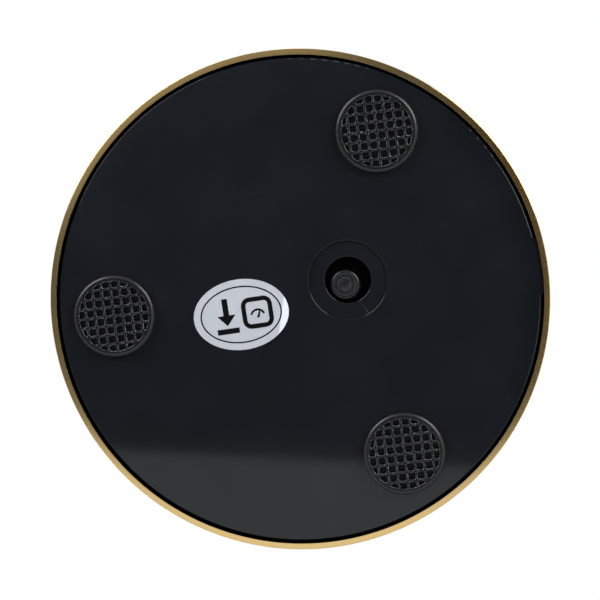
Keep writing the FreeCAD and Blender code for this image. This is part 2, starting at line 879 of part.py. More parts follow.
def charge_board_screws():
    return Part.makeCompound([
        pan_screw(at_height(point, z_charge_top), DOWN, small_screw_head_radius, small_screw_head_height,
                  small_screw_radius, charge_screw_length)
        for point in charge_screw_points()])


def charge_port():
    """The metal shell of the charging socket with its centre tongue."""
    round_end = port_height / 2 - port_end_flat
    outside = rounded_block(Vector(), port_width, port_height, 0, port_depth, round_end)
    inside = rounded_block(Vector(), port_width - 2 * port_shell, port_height - 2 * port_shell,
                           port_back_wall, port_depth, round_end - port_shell)
    tongue = block(Vector(), port_tongue_width, port_tongue_thickness,
                   port_tongue_root, port_depth - port_tongue_inset)
    port = outside.cut(inside).fuse(tongue)
    port.rotate(Vector(), Vector(1, 0, 0), -90)
    port.translate(Vector(port_x, port_mouth - port_depth, z_port_mid))
    return port


# ---- Unit button ----

def button_cap():
    cap = turned(button_centre, polygon([
        (0, z_button),
        (button_radius - button_chamfer, z_button),
        (button_radius, z_button + button_chamfer),
        (button_radius, z_well_top),
        (button_radius + button_flange, z_well_top),
        (button_radius + button_flange, z_flange_top),
        (button_radius - button_skirt, z_flange_top),
        (button_radius - button_skirt, z_button_back),
        (0, z_button_back),
    ]))
    rings = [hoop(radius + button_ring_width, radius, z_button, z_button + button_ring_depth, button_centre)
             for radius in button_ring_radii]
    return cap.cut(rings)


def switch_body():
    body = rounded_block(button_centre, switch_width, switch_width, z_switch, z_board, switch_corner)
    return body.cut(disc(switch_plunger_radius + switch_bore_gap, z_switch, z_switch + switch_bore_depth,
                         button_centre))


def switch_plunger():
    z_top = z_switch + switch_bore_depth - button_travel - travel_clearance
    return disc(switch_plunger_radius, z_button_back, z_top, button_centre)


def button_spring():
    height = z_board - z_button_back - 2 * spring_wire_radius
    helix = Part.makeHelix(height / spring_turns, height, spring_mean_radius)
    start = Vector(spring_mean_radius, 0, 0)
    section = Part.Wire([Part.makeCircle(spring_wire_radius, start, Vector(0, 1, 0))])
    coil = Part.Wire(helix.Edges).makePipeShell([section], True, True)
    coil.translate(at_height(button_centre, z_button_back + spring_wire_radius))
    return coil


# ---- Stops, label and leads ----

def stop_cushions():
    return Part.makeCompound([
        disc(stop_cushion_radius, z_stop_post, z_stop_top, point).cut(
            disc(stop_spigot_radius + screw_gap, z_stop_post, z_stop_post + stop_spigot_height + screw_gap, point))
        for point in stop_points()])


def rating_label():
    ellipse = Part.Ellipse(Vector(), label_length / 2, label_height / 2).toShape()
    label = Part.Face(Part.Wire([ellipse])).extrude(Vector(0, 0, label_thickness))
    label.rotate(Vector(), UP, label_turn)
    label.translate(at_height(label_centre, z_base - label_thickness))
    return label


def plug_points(name):
    """The last two points of a lead: straight in front of its plug, and at the plug's face."""
    place, facing = board_plugs[name]
    return [at_height(place.add(Vector(facing).multiply(plug_depth + ahead)), z_plug_mid)
            for ahead in (plug_run, 0)]


def gauge_side(name, side, reach, z):
    """A point beside a cell's gauge cover, reach out along the tangent on the given side."""
    angle = foot_angles[name]
    return polar(gauge_circle, angle, z).add(polar(side * reach, angle + 90))


def cell_lead(name, side):
    z_start = z_cell - 2 * lead_floor_gap - lead_radius
    first = gauge_side(name, side, gauge_width / 2, z_start)
    second = gauge_side(name, side, gauge_width / 2 + lead_exit_run, z_lead)
    route = [at_height(point, z_lead) for point in cell_lead_routes[name]]
    return lead(f"cell_lead_{name}", [first, second] + route + plug_points(name), lead_radius)


def battery_lead():
    start = Vector(battery_centre.x - battery_width / 2, battery_lead_y, z_floor + tape_thickness + battery_height / 2)
    route = [at_height(point.add(Vector(start.x, 0, 0)), z_lead + battery_lead_lift)
             for point in battery_lead_route]
    return lead("battery_lead", [start, start.sub(Vector(battery_lead_exit, 0, 0))]
                + route + plug_points("battery"), lead_radius)


def charge_lead():
    front = Vector(port_x, charge_board_back() - charge_board_depth, z_charge_top + lead_radius)
    route = [front.add(Vector(charge_lead_offset, charge_lead_overlap, 0)),
             front.add(Vector(charge_lead_offset, -charge_lead_exit, 0))]
    for point, lift in zip(charge_lead_route, (charge_lead_lift, 0, charge_lead_lift)):
        route.append(at_height(front.add(point), z_lead + lift))
    return lead("charge_lead", route + plug_points("charge"), lead_radius)


def save(name, shape):
    shape.exportStep(f"parts/{name}.step")


os.makedirs("parts", exist_ok=True)

save("base_plate", base_plate())
tread = pocket_field()
for foot, foot_angle in foot_angles.items():
    save(f"foot_pad_{foot}", foot_pad(foot, tread))
    save(f"load_cell_{foot}", load_cell(foot_angle))
save("cell_gauges", cell_gauges())
save("cell_base_screws", cell_base_screws())
save("cell_spacers", cell_spacers())

save("rim_ring", rim_ring())
save("platform_tray", platform_tray())
save("tray_rim_screws", tray_rim_screws())
save("platform_screws", platform_screws())
save("glass_bond", sheet_with_window(z_tray_top, z_film, display_window_width, display_window_depth))
save("mask_film", sheet_with_window(z_film, z_glass, display_glass_width, display_glass_depth))
save("glass_top", glass_top())

save("display_frame", display_frame())
save("display_board", display_board())
save("display_panel", display_panel())
save("display_screws", display_screws())
save("display_cable", display_cable())

save("main_board", main_board())
save("board_screws", board_screws())
save("board_sockets", board_sockets())
save("board_chips", board_chips())
save("lead_plugs", lead_plugs())
save("battery_pack", battery_pack())
save("battery_tape", battery_tape())
save("charge_board", charge_board())
save("charge_board_screws", charge_board_screws())
save("charge_port", charge_port())

save("button_cap", button_cap())
save("switch_body", switch_body())
save("switch_plunger", switch_plunger())
save("button_spring", button_spring())

save("stop_cushions", stop_cushions())
save("rating_label", rating_label())
for foot, lead_side in {"heel": 1, "right": -1, "left": 1}.items():
    save(f"cell_lead_{foot}", cell_lead(foot, lead_side))
save("battery_lead", battery_lead())
save("charge_lead", charge_lead())
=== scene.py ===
import json
import math

import bmesh
import bpy
from mathutils import Matrix, Vector


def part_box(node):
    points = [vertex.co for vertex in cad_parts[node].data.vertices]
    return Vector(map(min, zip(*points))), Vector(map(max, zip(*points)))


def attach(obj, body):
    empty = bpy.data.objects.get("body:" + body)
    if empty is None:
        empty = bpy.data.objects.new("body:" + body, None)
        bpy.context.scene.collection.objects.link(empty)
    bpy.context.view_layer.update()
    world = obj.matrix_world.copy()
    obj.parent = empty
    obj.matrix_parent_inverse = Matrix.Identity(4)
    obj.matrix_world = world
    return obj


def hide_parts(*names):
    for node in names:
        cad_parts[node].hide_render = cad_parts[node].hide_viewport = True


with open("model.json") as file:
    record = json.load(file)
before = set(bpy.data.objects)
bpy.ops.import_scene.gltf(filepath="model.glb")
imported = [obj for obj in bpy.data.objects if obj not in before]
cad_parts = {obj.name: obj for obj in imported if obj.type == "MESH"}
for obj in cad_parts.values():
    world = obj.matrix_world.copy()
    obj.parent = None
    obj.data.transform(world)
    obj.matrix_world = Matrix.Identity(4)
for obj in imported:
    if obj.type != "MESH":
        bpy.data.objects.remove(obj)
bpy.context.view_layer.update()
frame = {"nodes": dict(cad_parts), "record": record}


# ---- Base plate ----
# One round moulding of semi-gloss black plastic that everything else is screwed to. Its
# underside is plain, with a seat for each pad and a round dish about the unit button. The
# mould leaves it smooth, and handling leaves hair scratches and specks of dust on it.

def new_finish(name):
    """An empty node material: its tree, and the shader that every finish ends in."""
    material = bpy.data.materials.new(name)
    material.use_nodes = True
    return material, material.node_tree, material.node_tree.nodes["Principled BSDF"]


def set_on(shader, **values):
    """Fixed numbers and colours, set on the shader's own sockets."""
    for label, value in values.items():
        socket = shader.inputs[label.replace("_", " ")]
        socket.default_value = (*value, 1.0) if isinstance(value, tuple) else value


def surface_place(tree, stretch=(1, 1, 1), turn=(0, 0, 0)):
    """The place on the object in metres, turned and then stretched."""
    place = tree.nodes.new("ShaderNodeTexCoord")
    mapping = tree.nodes.new("ShaderNodeMapping")
    mapping.inputs["Rotation"].default_value = [math.radians(a) for a in turn]
    mapping.inputs["Scale"].default_value = stretch
    tree.links.new(place.outputs["Object"], mapping.inputs["Vector"])
    return mapping.outputs["Vector"]


def grain(tree, place, scale, detail=4.0, roughness=0.55):
    noise = tree.nodes.new("ShaderNodeTexNoise")
    noise.inputs["Scale"].default_value = scale
    noise.inputs["Detail"].default_value = detail
    noise.inputs["Roughness"].default_value = roughness
    tree.links.new(place, noise.inputs["Vector"])
    return noise.outputs["Fac"]


def shades(tree, value, *stops):
    """Turns a value from 0 to 1 into colours: each stop is (position, grey or colour)."""
    ramp = tree.nodes.new("ShaderNodeValToRGB")
    points = ramp.color_ramp.elements
    for k, (at, colour) in enumerate(stops):
        point = points[k] if k < len(points) else points.new(at)
        point.position = at
        point.color = (*colour, 1.0) if isinstance(colour, tuple) else (colour, colour, colour, 1.0)
    tree.links.new(value, ramp.inputs["Fac"])
    return ramp.outputs["Color"]


def blend(tree, kind, first, second, amount=1.0):
    mix = tree.nodes.new("ShaderNodeMix")
    mix.data_type = "RGBA"
    mix.blend_type = kind
    mix.inputs["Factor"].default_value = amount
    tree.links.new(first, mix.inputs["A"])
    tree.links.new(second, mix.inputs["B"])
    return mix.outputs["Result"]


def relief(tree, shader, height, strength, depth):
    """Raises the surface a little where height is high; depth is in metres."""
    bump = tree.nodes.new("ShaderNodeBump")
    bump.inputs["Strength"].default_value = strength
    bump.inputs["Distance"].default_value = depth
    tree.links.new(height, bump.inputs["Height"])
    tree.links.new(bump.outputs["Normal"], shader.inputs["Normal"])


def dulled_between(tree, shader, place, scale, least, most):
    """Makes the surface wander between two roughnesses."""
    rough = shades(tree, grain(tree, place, scale), (0.3, least), (0.7, most))
    tree.links.new(rough, shader.inputs["Roughness"])


def scratches(tree, turn, spacing, share):
    """Long hair scratches, all one way: white on black, on the given share of the surface."""
    place = surface_place(tree, stretch=(spacing, spacing / 45, spacing), turn=(0, 0, turn))
    return shades(tree, grain(tree, place, 1.0, 2.0, 0.5), (1 - share, 0.0), (1.04 - share, 1.0))


def dust(tree, spacing, size):
    """Round specks of many sizes, white on black."""
    cells = tree.nodes.new("ShaderNodeTexVoronoi")
    cells.inputs["Scale"].default_value = spacing
    tree.links.new(surface_place(tree), cells.inputs["Vector"])
    return shades(tree, cells.outputs["Distance"], (0.0, 1.0), (size, 0.0))


def black_moulding():
    material, tree, shader = new_finish("black_moulding")
    place = surface_place(tree)
    tone = shades(tree, grain(tree, place, 26, 3),
                  (0.3, (0.0046, 0.0060, 0.0082)), (0.7, (0.0066, 0.0084, 0.0112)))
    marks = blend(tree, "LIGHTEN", scratches(tree, 24, 900, 0.27), scratches(tree, -58, 760, 0.25))
    pale = shades(tree, grain(tree, place, 70), (0.45, 0.0), (0.8, 0.008))
    worn = blend(tree, "ADD", tone, blend(tree, "MULTIPLY", marks, pale))
    dusty = shades(tree, grain(tree, place, 900, 1), (0.62, 0.0), (0.7, 0.12))
    specks = blend(tree, "MULTIPLY", dust(tree, 420, 0.055), dusty)
    tree.links.new(blend(tree, "ADD", worn, specks), shader.inputs["Base Color"])
    polish = shades(tree, grain(tree, place, 60, 5), (0.25, 0.045), (0.75, 0.066))
    dulled = shades(tree, grain(tree, place, 90), (0.4, 0.0), (0.8, 0.035))
    tree.links.new(blend(tree, "ADD", polish, blend(tree, "MULTIPLY", marks, dulled)), shader.inputs["Roughness"])
    relief(tree, shader, grain(tree, place, 1500, 3), 0.035, 0.00002)
    set_on(shader, IOR=1.42)
    return material


def dress(node, material):
    """Gives a part of the frame its finish."""
    for holder in frame["nodes"][node].material_slots:
        holder.material = material


base_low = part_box("base_plate")[0]
base_finish = black_moulding()
dress("base_plate", base_finish)

openings = {opening["name"]: opening["box_m"] for opening in frame["record"]["physics"]["openings"]}
dish_low, dish_high = openings["button_well"]
dish_centre = Vector(((dish_low[0] + dish_high[0]) / 2, (dish_low[1] + dish_high[1]) / 2, base_low.z))
dish_radius = 0.0204
dish_depth = 0.0012
well_radius = 0.0121
well_depth = 0.0048
knit_angle = 154.0
knit_width = 0.0005
knit_height = 0.00005
knit_start = well_radius + 0.0009
knit_length = dish_radius - well_radius - 0.0012
knit_thin = 0.35
knit_sway = 0.0002
knit_steps = 24
knit_section = ((-1, -0.2), (-0.5, 0.75), (0, 1), (0.5, 0.75), (1, -0.2))


def linked_mesh(name, bm):
    """Makes a finished mesh an object of the scene."""
    mesh = bpy.data.meshes.new(name)
    bm.to_mesh(mesh)
    bm.free()
    thing = bpy.data.objects.new(name, mesh)
    bpy.context.scene.collection.objects.link(thing)
    return thing


def add_piece(name, bm, body, material, smooth=38):
    """A piece of the scale that moves with a body, with its edges over smooth degrees kept sharp."""
    bmesh.ops.recalc_face_normals(bm, faces=bm.faces)
    piece = linked_mesh(name, bm)
    piece.data.materials.append(material)
    piece.data.shade_smooth()
    piece.data.set_sharp_from_angle(angle=math.radians(smooth))
    weighted = piece.modifiers.new("weighted", "WEIGHTED_NORMAL")
    weighted.keep_sharp = True
    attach(piece, body)
    return piece


def strip(bm, rows):
    """Skins rows of equally many points with quads."""
    made = [[bm.verts.new(p) for p in row] for row in rows]
    for lower, upper in zip(made, made[1:]):
        for k in range(len(lower) - 1):
            bm.faces.new((lower[k], lower[k + 1], upper[k + 1], upper[k]))


def knit_line():
    """The faint ridge where the plastic met itself behind the well as the mould filled."""
    bm = bmesh.new()
    floor = base_low.z + dish_depth
    along = Vector((math.cos(math.radians(knit_angle)), math.sin(math.radians(knit_angle)), 0))
    across = Vector((-along.y, along.x, 0))
    rows = []
    for k in range(knit_steps + 1):
        share = k / knit_steps
        swell = math.sin(math.pi * min(1, share * 1.4 + 0.1) * 0.9)
        half = knit_width / 2 * (knit_thin + (1 - knit_thin) * swell)
        bend = knit_sway * math.sin(5 * share)
        middle = dish_centre + along * (knit_start + share * knit_length) + across * bend
        rows.append([Vector((0, 0, floor - middle.z - rise * knit_height)) + middle + across * half * side
                     for side, rise in knit_section])
    strip(bm, rows)
    add_piece("dish_knit_line", bm, "base", base_finish)


knit_line()


# ---- Rubber foot pads ----
# Three round pads of black rubber, pressed and glued into their seats under the load cells.
# Each has a waffle tread of square pockets inside a plain border, and a rounded outer edge.

# The tread's edges carry painted glints and its pockets painted shade.
pad_edge_round = 0.0016
pad_edge_steps = 8
pad_sides = 180
pocket_pitch = 0.0048
pocket_width = 0.0036
pocket_corner = 0.00065
pocket_depth = 0.0028
pocket_lip = 0.00030
pocket_lip_steps = ((1.0, 0.0), (0.62, 0.08), (0.25, 0.35), (0.0, 1.0))
pocket_foot_round = 0.3
pocket_foot_most = 0.6
pocket_field = 0.0182
pocket_count = 8
pocket_turn = -2.0
least_pocket = 0.08


def black_rubber():
    material, tree, shader = new_finish("black_rubber")
    place = surface_place(tree)
    tone = shades(tree, grain(tree, place, 110, 5),
                  (0.3, (0.0075, 0.0080, 0.0105)), (0.72, (0.0115, 0.0120, 0.0150)))
    bloom = shades(tree, grain(tree, place, 900, 3), (0.58, 0.0), (0.8, 0.006))
    tree.links.new(blend(tree, "ADD", tone, bloom), shader.inputs["Base Color"])
    dulled_between(tree, shader, place, 500, 0.24, 0.34)
    relief(tree, shader, grain(tree, place, 3800, 3), 0.18, 0.00003)
    set_on(shader, IOR=1.52)
    return material


def painted_glint_rubber():
    """The tread's rounded edges, painted pale grey in patches as glints: a painted highlight."""
    material, tree, shader = new_finish("painted_glint_rubber")
    place = surface_place(tree)
    # Pale grey patches on the edges are painted highlights (glints).
    worn = shades(tree, grain(tree, place, 950, 4, 0.7),
                  (0.50, (0.008, 0.009, 0.011)), (0.66, (0.27, 0.28, 0.30)))
    tree.links.new(worn, shader.inputs["Base Color"])
    dulled_between(tree, shader, place, 1400, 0.20, 0.32)
    set_on(shader, IOR=1.6)
    return material


def painted_shade_pocket_rubber():
    """The rubber inside the pockets, dull as it left the mould and painted darker than the pad: painted shade."""
    material, tree, shader = new_finish("painted_shade_pocket_rubber")
    place = surface_place(tree)
    # Darker than the rest of the pad: painted shade in the pockets.
    tone = shades(tree, grain(tree, place, 700, 4),
                  (0.3, (0.0022, 0.0025, 0.0034)), (0.72, (0.0048, 0.0050, 0.0062)))
    tree.links.new(tone, shader.inputs["Base Color"])
    dulled_between(tree, shader, place, 1100, 0.5, 0.7)
    set_on(shader, Specular_IOR_Level=0.25)
    return material


def arc_points(centre, radius, start, end, steps):
    """Points on an arc in the plane, from start to end degrees."""
    turns = [math.radians(start + (end - start) * k / steps) for k in range(steps + 1)]
    return [(centre[0] + radius * math.cos(t), centre[1] + radius * math.sin(t)) for t in turns]


def rounded_square(x, y, width, corner, height=None, steps=4):
    """The outline of a square, or of an oblong where a height is given, with round corners."""
    across, up = width / 2 - corner, (height or width) / 2 - corner
    outline = []
    for quarter, (sx, sy) in enumerate(((1, 1), (-1, 1), (-1, -1), (1, -1))):
        outline += arc_points((x + sx * across, y + sy * up), corner, 90 * quarter, 90 * quarter + 90, steps)
    return outline


def inside_circle(outline, radius, sides=120, least=0.00005):
    """The part of a convex outline inside a circle about the middle, with points at least that far apart."""
    for k in range(sides):
        turn = 2 * math.pi * (k + 0.5) / sides
        nx, ny = math.cos(turn), math.sin(turn)
        reach = radius * math.cos(math.pi / sides)
        past = [x * nx + y * ny - reach for x, y in outline]
        if all(d <= 0 for d in past):
            continue
        kept = []
        for (a, da), (b, db) in zip(zip(outline, past), zip(outline[1:] + outline[:1], past[1:] + past[:1])):
            if da <= 0:
                kept.append(a)
            if da * db < 0:
                share = da / (da - db)
                kept.append((a[0] + (b[0] - a[0]) * share, a[1] + (b[1] - a[1]) * share))
        outline = kept
        if len(outline) < 3:
            return []
    spaced = []
    for point in outline:
        if not spaced or math.dist(point, spaced[-1]) > least:
            spaced.append(point)
    return spaced[:-1] if math.dist(spaced[0], spaced[-1]) < least else spaced


def area_of(outline):
    return 0.5 * sum(a[0] * b[1] - b[0] * a[1] for a, b in zip(outline, outline[1:] + outline[:1]))


def grown(outline, distance):
    """A convex outline moved outwards by distance, or inwards where it is negative."""
    moved = []
    for before, here, after in zip(outline[-1:] + outline[:-1], outline, outline[1:] + outline[:1]):
        into = Vector((here[0] - before[0], here[1] - before[1])).normalized()
        out = Vector((after[0] - here[0], after[1] - here[1])).normalized()
        normal = Vector((into.y + out.y, -into.x - out.x))
        normal = normal.normalized() / max(0.4, math.sqrt(max(0.0, (1 + into.dot(out)) / 2)))
        moved.append((here[0] + normal.x * distance, here[1] + normal.y * distance))
    return moved


def loop_of(bm, outline, z):
    return [bm.verts.new((x, y, z)) for x, y in outline]


def wall_between(bm, first, second, finish=0):
    for k in range(len(first)):
        n = (k + 1) % len(first)
        bm.faces.new((first[k], first[n], second[n], second[k])).material_index = finish


def pocket(bm, outline, face):
    """One pocket of the tread: a rounded lip at the pad's face, a wall and a floor."""
    around = sum(math.dist(a, b) for a, b in zip(outline, outline[1:] + outline[:1]))
    foot = min(pocket_lip, area_of(outline) / around * pocket_foot_most)
    loops = [loop_of(bm, grown(outline, pocket_lip * out), face + pocket_lip * up)
             for out, up in pocket_lip_steps]
    loops.append(loop_of(bm, grown(outline, -foot * pocket_foot_round), face + pocket_depth - foot))
    loops.append(loop_of(bm, grown(outline, -foot), face + pocket_depth))
    # The lip faces take the painted glints; the walls below them and the floor take the painted shade.
    for k, (first, second) in enumerate(zip(loops, loops[1:])):
        wall_between(bm, first, second, 1 if k < len(pocket_lip_steps) - 1 else 2)
    bm.faces.new(loops[-1]).material_index = 2
    return loops[0]


def skin(bm, loops):
    """Walls from each closed loop to the next."""
    for first, second in zip(loops, loops[1:]):
        wall_between(bm, first, second)


def waffle_pad(node, finish, glint_and_shade_finishes):
    low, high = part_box(node)
    radius = (high.x - low.x) / 2
    bm = bmesh.new()
    edge = []
    for k in range(pad_edge_steps + 1):
        turn = math.radians(90 * k / pad_edge_steps)
        reach = radius - pad_edge_round + pad_edge_round * math.sin(turn)
        edge.append(loop_of(bm, arc_points((0, 0), reach, 0, 360, pad_sides)[:-1],
                            low.z + pad_edge_round * (1 - math.cos(turn))))
    edge.append(loop_of(bm, arc_points((0, 0), radius, 0, 360, pad_sides)[:-1], high.z))
    skin(bm, edge)
    bm.faces.new(edge[-1])
    tops = [edge[0]]
    middle = (pocket_count - 1) / 2
    full = area_of(rounded_square(0, 0, pocket_width, pocket_corner))
    for row in range(pocket_count):
        for column in range(pocket_count):
            whole = rounded_square((column - middle) * pocket_pitch, (row - middle) * pocket_pitch,
                                   pocket_width, pocket_corner)
            outline = inside_circle(whole, pocket_field)
            if len(outline) >= 3 and area_of(outline) >= least_pocket * full:
                tops.append(pocket(bm, outline, low.z))
    edges = [bm.edges.get((loop[k], loop[(k + 1) % len(loop)])) for loop in tops for k in range(len(loop))]
    bmesh.ops.triangle_fill(bm, edges=edges, use_beauty=True, use_dissolve=False, normal=(0, 0, -1))
    centre = (low + high) / 2
    turned = Matrix.Rotation(math.radians(pocket_turn), 3, "Z")
    bmesh.ops.rotate(bm, verts=bm.verts, cent=(0, 0, 0), matrix=turned)
    bmesh.ops.translate(bm, verts=bm.verts, vec=(centre.x, centre.y, 0))
    pad = add_piece(node.replace("foot_pad", "waffle_pad"), bm, "base", finish)
    for inner in glint_and_shade_finishes:
        pad.data.materials.append(inner)
    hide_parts(node)


rubber = black_rubber()
# Painted glints for the tread's edges and painted shade for its pockets.
tread_glint_and_shade = [painted_glint_rubber(), painted_shade_pocket_rubber()]
for side in ("heel", "right", "left"):
    waffle_pad(f"foot_pad_{side}", rubber, tread_glint_and_shade)
dress("stop_cushions", rubber)


# ---- Rating label ----
# An oval of silvery coated paper, stuck on by hand, so one end has a crease and stands a
# little proud. It is printed in black with an oval line and two plain pictograms.

label_low, label_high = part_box("rating_label")
label_centre = (label_low + label_high) / 2
label_length = 0.0500
label_height = 0.0368
label_thickness = label_high.z - label_low.z
label_turn = math.radians(86.3)
label_line_inset = 0.0039
label_line_width = 0.00075
label_back = 0.96
label_rings = 26
label_sides = 144
crease_at = 0.0212
crease_lean = 0.3
crease_rise = 0.00095
crease_run = 0.014
crease_fall = 0.0042
print_lift = 0.00003
print_stroke = 0.0030
arrow_at = -0.0078
arrow_top = 0.0092
arrow_shoulder = 0.0005
arrow_tip = -0.0050
arrow_reach = 0.0048
plinth_top = -0.0064
plinth_bottom = -0.0092
plinth_reach = 0.0058
dial_at = 0.0086
dial_size = 0.0140
dial_corner = 0.0032
dial_arc_radius = 0.0036
dial_arc_drop = 0.0022
dial_arc_line = 0.0011


def label_rise(s, t):
    """How far the sheet stands off at a place on it: it rises to the crease and drops to the end."""
    reach = s - crease_lean * t
    if reach < crease_at - crease_run:
        return 0.0
    if reach < crease_at:
        share = (reach - crease_at + crease_run) / crease_run
        return crease_rise * share * share * (3 - 2 * share)
    return crease_rise * max(0.0, 1 - (reach - crease_at) / crease_fall)


def on_label(s, t, lift=0.0):
    """The point on the sheet's face that lies s along it and t up it."""
    x = label_centre.x + s * math.cos(label_turn) + t * math.sin(label_turn)
    y = label_centre.y + s * math.sin(label_turn) - t * math.cos(label_turn)
    return Vector((x, y, label_low.z - label_rise(s, t) - lift))


def label_paper():
    material, tree, shader = new_finish("label_paper")
    place = surface_place(tree)
    fibre = grain(tree, surface_place(tree, stretch=(1, 0.25, 1)), 2600, 4)
    tree.links.new(shades(tree, blend(tree, "MULTIPLY", fibre, grain(tree, place, 90)),
                          (0.12, (0.53, 0.565, 0.63)), (0.42, (0.62, 0.66, 0.73))), shader.inputs["Base Color"])
    dulled_between(tree, shader, place, 300, 0.20, 0.26)
    relief(tree, shader, fibre, 0.08, 0.00002)
    set_on(shader, Metallic=0.25, Coat_Weight=1.0, Coat_Roughness=0.08)
    return material


def label_ink():
    material, tree, shader = new_finish("label_ink")
    worn = grain(tree, surface_place(tree), 2200, 5, 0.7)
    tree.links.new(shades(tree, worn, (0.3, (0.0022, 0.0020, 0.0020)), (0.8, (0.0065, 0.006, 0.006))),
                   shader.inputs["Base Color"])
    tree.links.new(shades(tree, worn, (0.3, 0.4), (0.8, 0.55)), shader.inputs["Roughness"])
    set_on(shader, Specular_IOR_Level=0.05)
    return material


def ellipse(a, b, steps):
    """Points of (s, t) round an ellipse about the label's middle, with half axes a and b."""
    return [(a * math.cos(t), b * math.sin(t)) for t in (2 * math.pi * k / steps for k in range(steps))]


def label_sheet():
    bm = bmesh.new()
    made = []
    for k in range(1, label_rings + 1):
        share = k / label_rings
        ring = ellipse(label_length / 2 * share, label_height / 2 * share, label_sides)
        made.append([bm.verts.new(on_label(s, t)) for s, t in ring])
    skin(bm, made)
    centre = bm.verts.new(on_label(0, 0))
    for k in range(label_sides):
        bm.faces.new((centre, made[0][k], made[0][(k + 1) % label_sides]))
    back = [bm.verts.new((v.co.x, v.co.y, v.co.z + label_thickness * label_back)) for v in made[-1]]
    wall_between(bm, made[-1], back)
    sheet = add_piece("label_sheet", bm, "base", label_paper(), smooth=60)
    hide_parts("rating_label")


def inked(bm, outline):
    """A closed printed shape on the sheet: its outline is points of (s, t)."""
    bm.faces.new([bm.verts.new(on_label(s, t, print_lift)) for s, t in outline])


def inked_band(bm, middle, width, closed=True):
    """A printed line of even width along points of (s, t)."""
    count = len(middle)
    inner, outer = [], []
    for k, (s, t) in enumerate(middle):
        before = middle[k - 1] if closed or k else middle[k]
        after = middle[(k + 1) % count] if closed or k < count - 1 else middle[k]
        normal = Vector((after[1] - before[1], before[0] - after[0])).normalized() * (width / 2)
        inner.append(bm.verts.new(on_label(s - normal.x, t - normal.y, print_lift)))
        outer.append(bm.verts.new(on_label(s + normal.x, t + normal.y, print_lift)))
    for k in range(count if closed else count - 1):
        n = (k + 1) % count
        bm.faces.new((inner[k], inner[n], outer[n], outer[k]))


def label_print():
    """The oval line, an arrow that presses on a plinth, and a dial with a needle."""
    bm = bmesh.new()
    oval = ellipse(label_length / 2 - label_line_inset, label_height / 2 - label_line_inset, 180)
    inked_band(bm, oval, label_line_width)
    half = print_stroke / 2
    inked(bm, [(arrow_at - half, arrow_top), (arrow_at - half, arrow_shoulder),
               (arrow_at - arrow_reach, arrow_shoulder), (arrow_at, arrow_tip),
               (arrow_at + arrow_reach, arrow_shoulder), (arrow_at + half, arrow_shoulder),
               (arrow_at + half, arrow_top)])
    left, right = arrow_at - plinth_reach, arrow_at + plinth_reach
    inked(bm, [(left, plinth_top), (left, plinth_bottom), (right, plinth_bottom), (right, plinth_top)])
    inked_band(bm, [(dial_at + s, t) for s, t in rounded_square(0, 0, dial_size, dial_corner)], print_stroke * 0.80)
    inked_band(bm, [(dial_at + s, t - dial_arc_drop) for s, t in arc_points((0, 0), dial_arc_radius, 20, 160, 20)],
               dial_arc_line, False)
    inked(bm, [(dial_at - 0.0007, -0.0028), (dial_at + 0.0007, -0.0028), (dial_at + 0.0018, 0.0008),
               (dial_at + 0.0011, 0.0010)])
    add_piece("label_print", bm, "base", label_ink(), smooth=60)


label_sheet()
label_print()


# ---- Gold rim ----
# A brass hoop, turned, polished and lacquered gold. It stands round the glass and hangs past
# the base's edge, with a ledge inside that the tray is screwed to and a window for the plug.

rim_low, rim_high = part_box("rim_ring")
rim_radius = (rim_high.x - rim_low.x) / 2
rim_wall = 0.0031
rim_bore = rim_radius - rim_wall
rim_edge = 0.0009
rim_foot_edge = 0.00028
rim_bore_edge = 0.00012
rim_inner_edge = 0.0003
rim_turns = 720
rim_sharp = 32
# Where the painted shade on the bore starts and stops.
bore_shade_over = 0.00008
bore_shade_from_foot = 0.00002
bore_shade_from_tray = 0.0001
tray_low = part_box("platform_tray")[0]
ledge_bore = rim_radius - 0.0110
ledge_thickness = 0.0025
port_low, port_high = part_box("charge_port")
port_middle = (port_low + port_high) / 2
window_width = 0.0134
window_height = 0.0070
window_corner = 0.0030
window_cuts = ((rim_bore - 0.004, 0.0), (rim_radius - 0.0006, 0.0), (rim_radius + 0.0004, 0.0008))


def turned_gold():
    """Lacquered brass: fine lines run round it from the lathe, with small nicks and darker patches."""
    material, tree, shader = new_finish("turned_gold")
    place = tree.nodes.new("ShaderNodeTexCoord")
    split = tree.nodes.new("ShaderNodeSeparateXYZ")
    tree.links.new(place.outputs["Object"], split.inputs["Vector"])
    flat = tree.nodes.new("ShaderNodeCombineXYZ")
    tree.links.new(split.outputs["X"], flat.inputs["X"])
    tree.links.new(split.outputs["Y"], flat.inputs["Y"])
    reach = tree.nodes.new("ShaderNodeVectorMath")
    reach.operation = "LENGTH"
    tree.links.new(flat.outputs["Vector"], reach.inputs[0])
    lines_at = tree.nodes.new("ShaderNodeCombineXYZ")
    tree.links.new(reach.outputs["Value"], lines_at.inputs["X"])
    tree.links.new(split.outputs["Z"], lines_at.inputs["Y"])
    lines = grain(tree, lines_at.outputs["Vector"], 2600, 3, 0.6)
    patches = grain(tree, surface_place(tree), 150, 5)
    gold = shades(tree, patches, (0.28, (0.782, 0.555, 0.230)), (0.72, (0.812, 0.582, 0.250)))
    lined = blend(tree, "MULTIPLY", gold, shades(tree, lines, (0.3, 0.88), (0.6, 1.0)))
    tree.links.new(lined, shader.inputs["Base Color"])
    nicks = shades(tree, grain(tree, surface_place(tree), 620, 2), (0.70, 0.0), (0.78, 0.12))
    haze = shades(tree, patches, (0.3, 0.138), (0.7, 0.152))
    tree.links.new(blend(tree, "ADD", haze, nicks), shader.inputs["Roughness"])
    relief(tree, shader, lines, 0.06, 0.00001)
    set_on(shader, Metallic=1.0, Coat_Weight=0.2, Coat_Roughness=0.08)
    return material


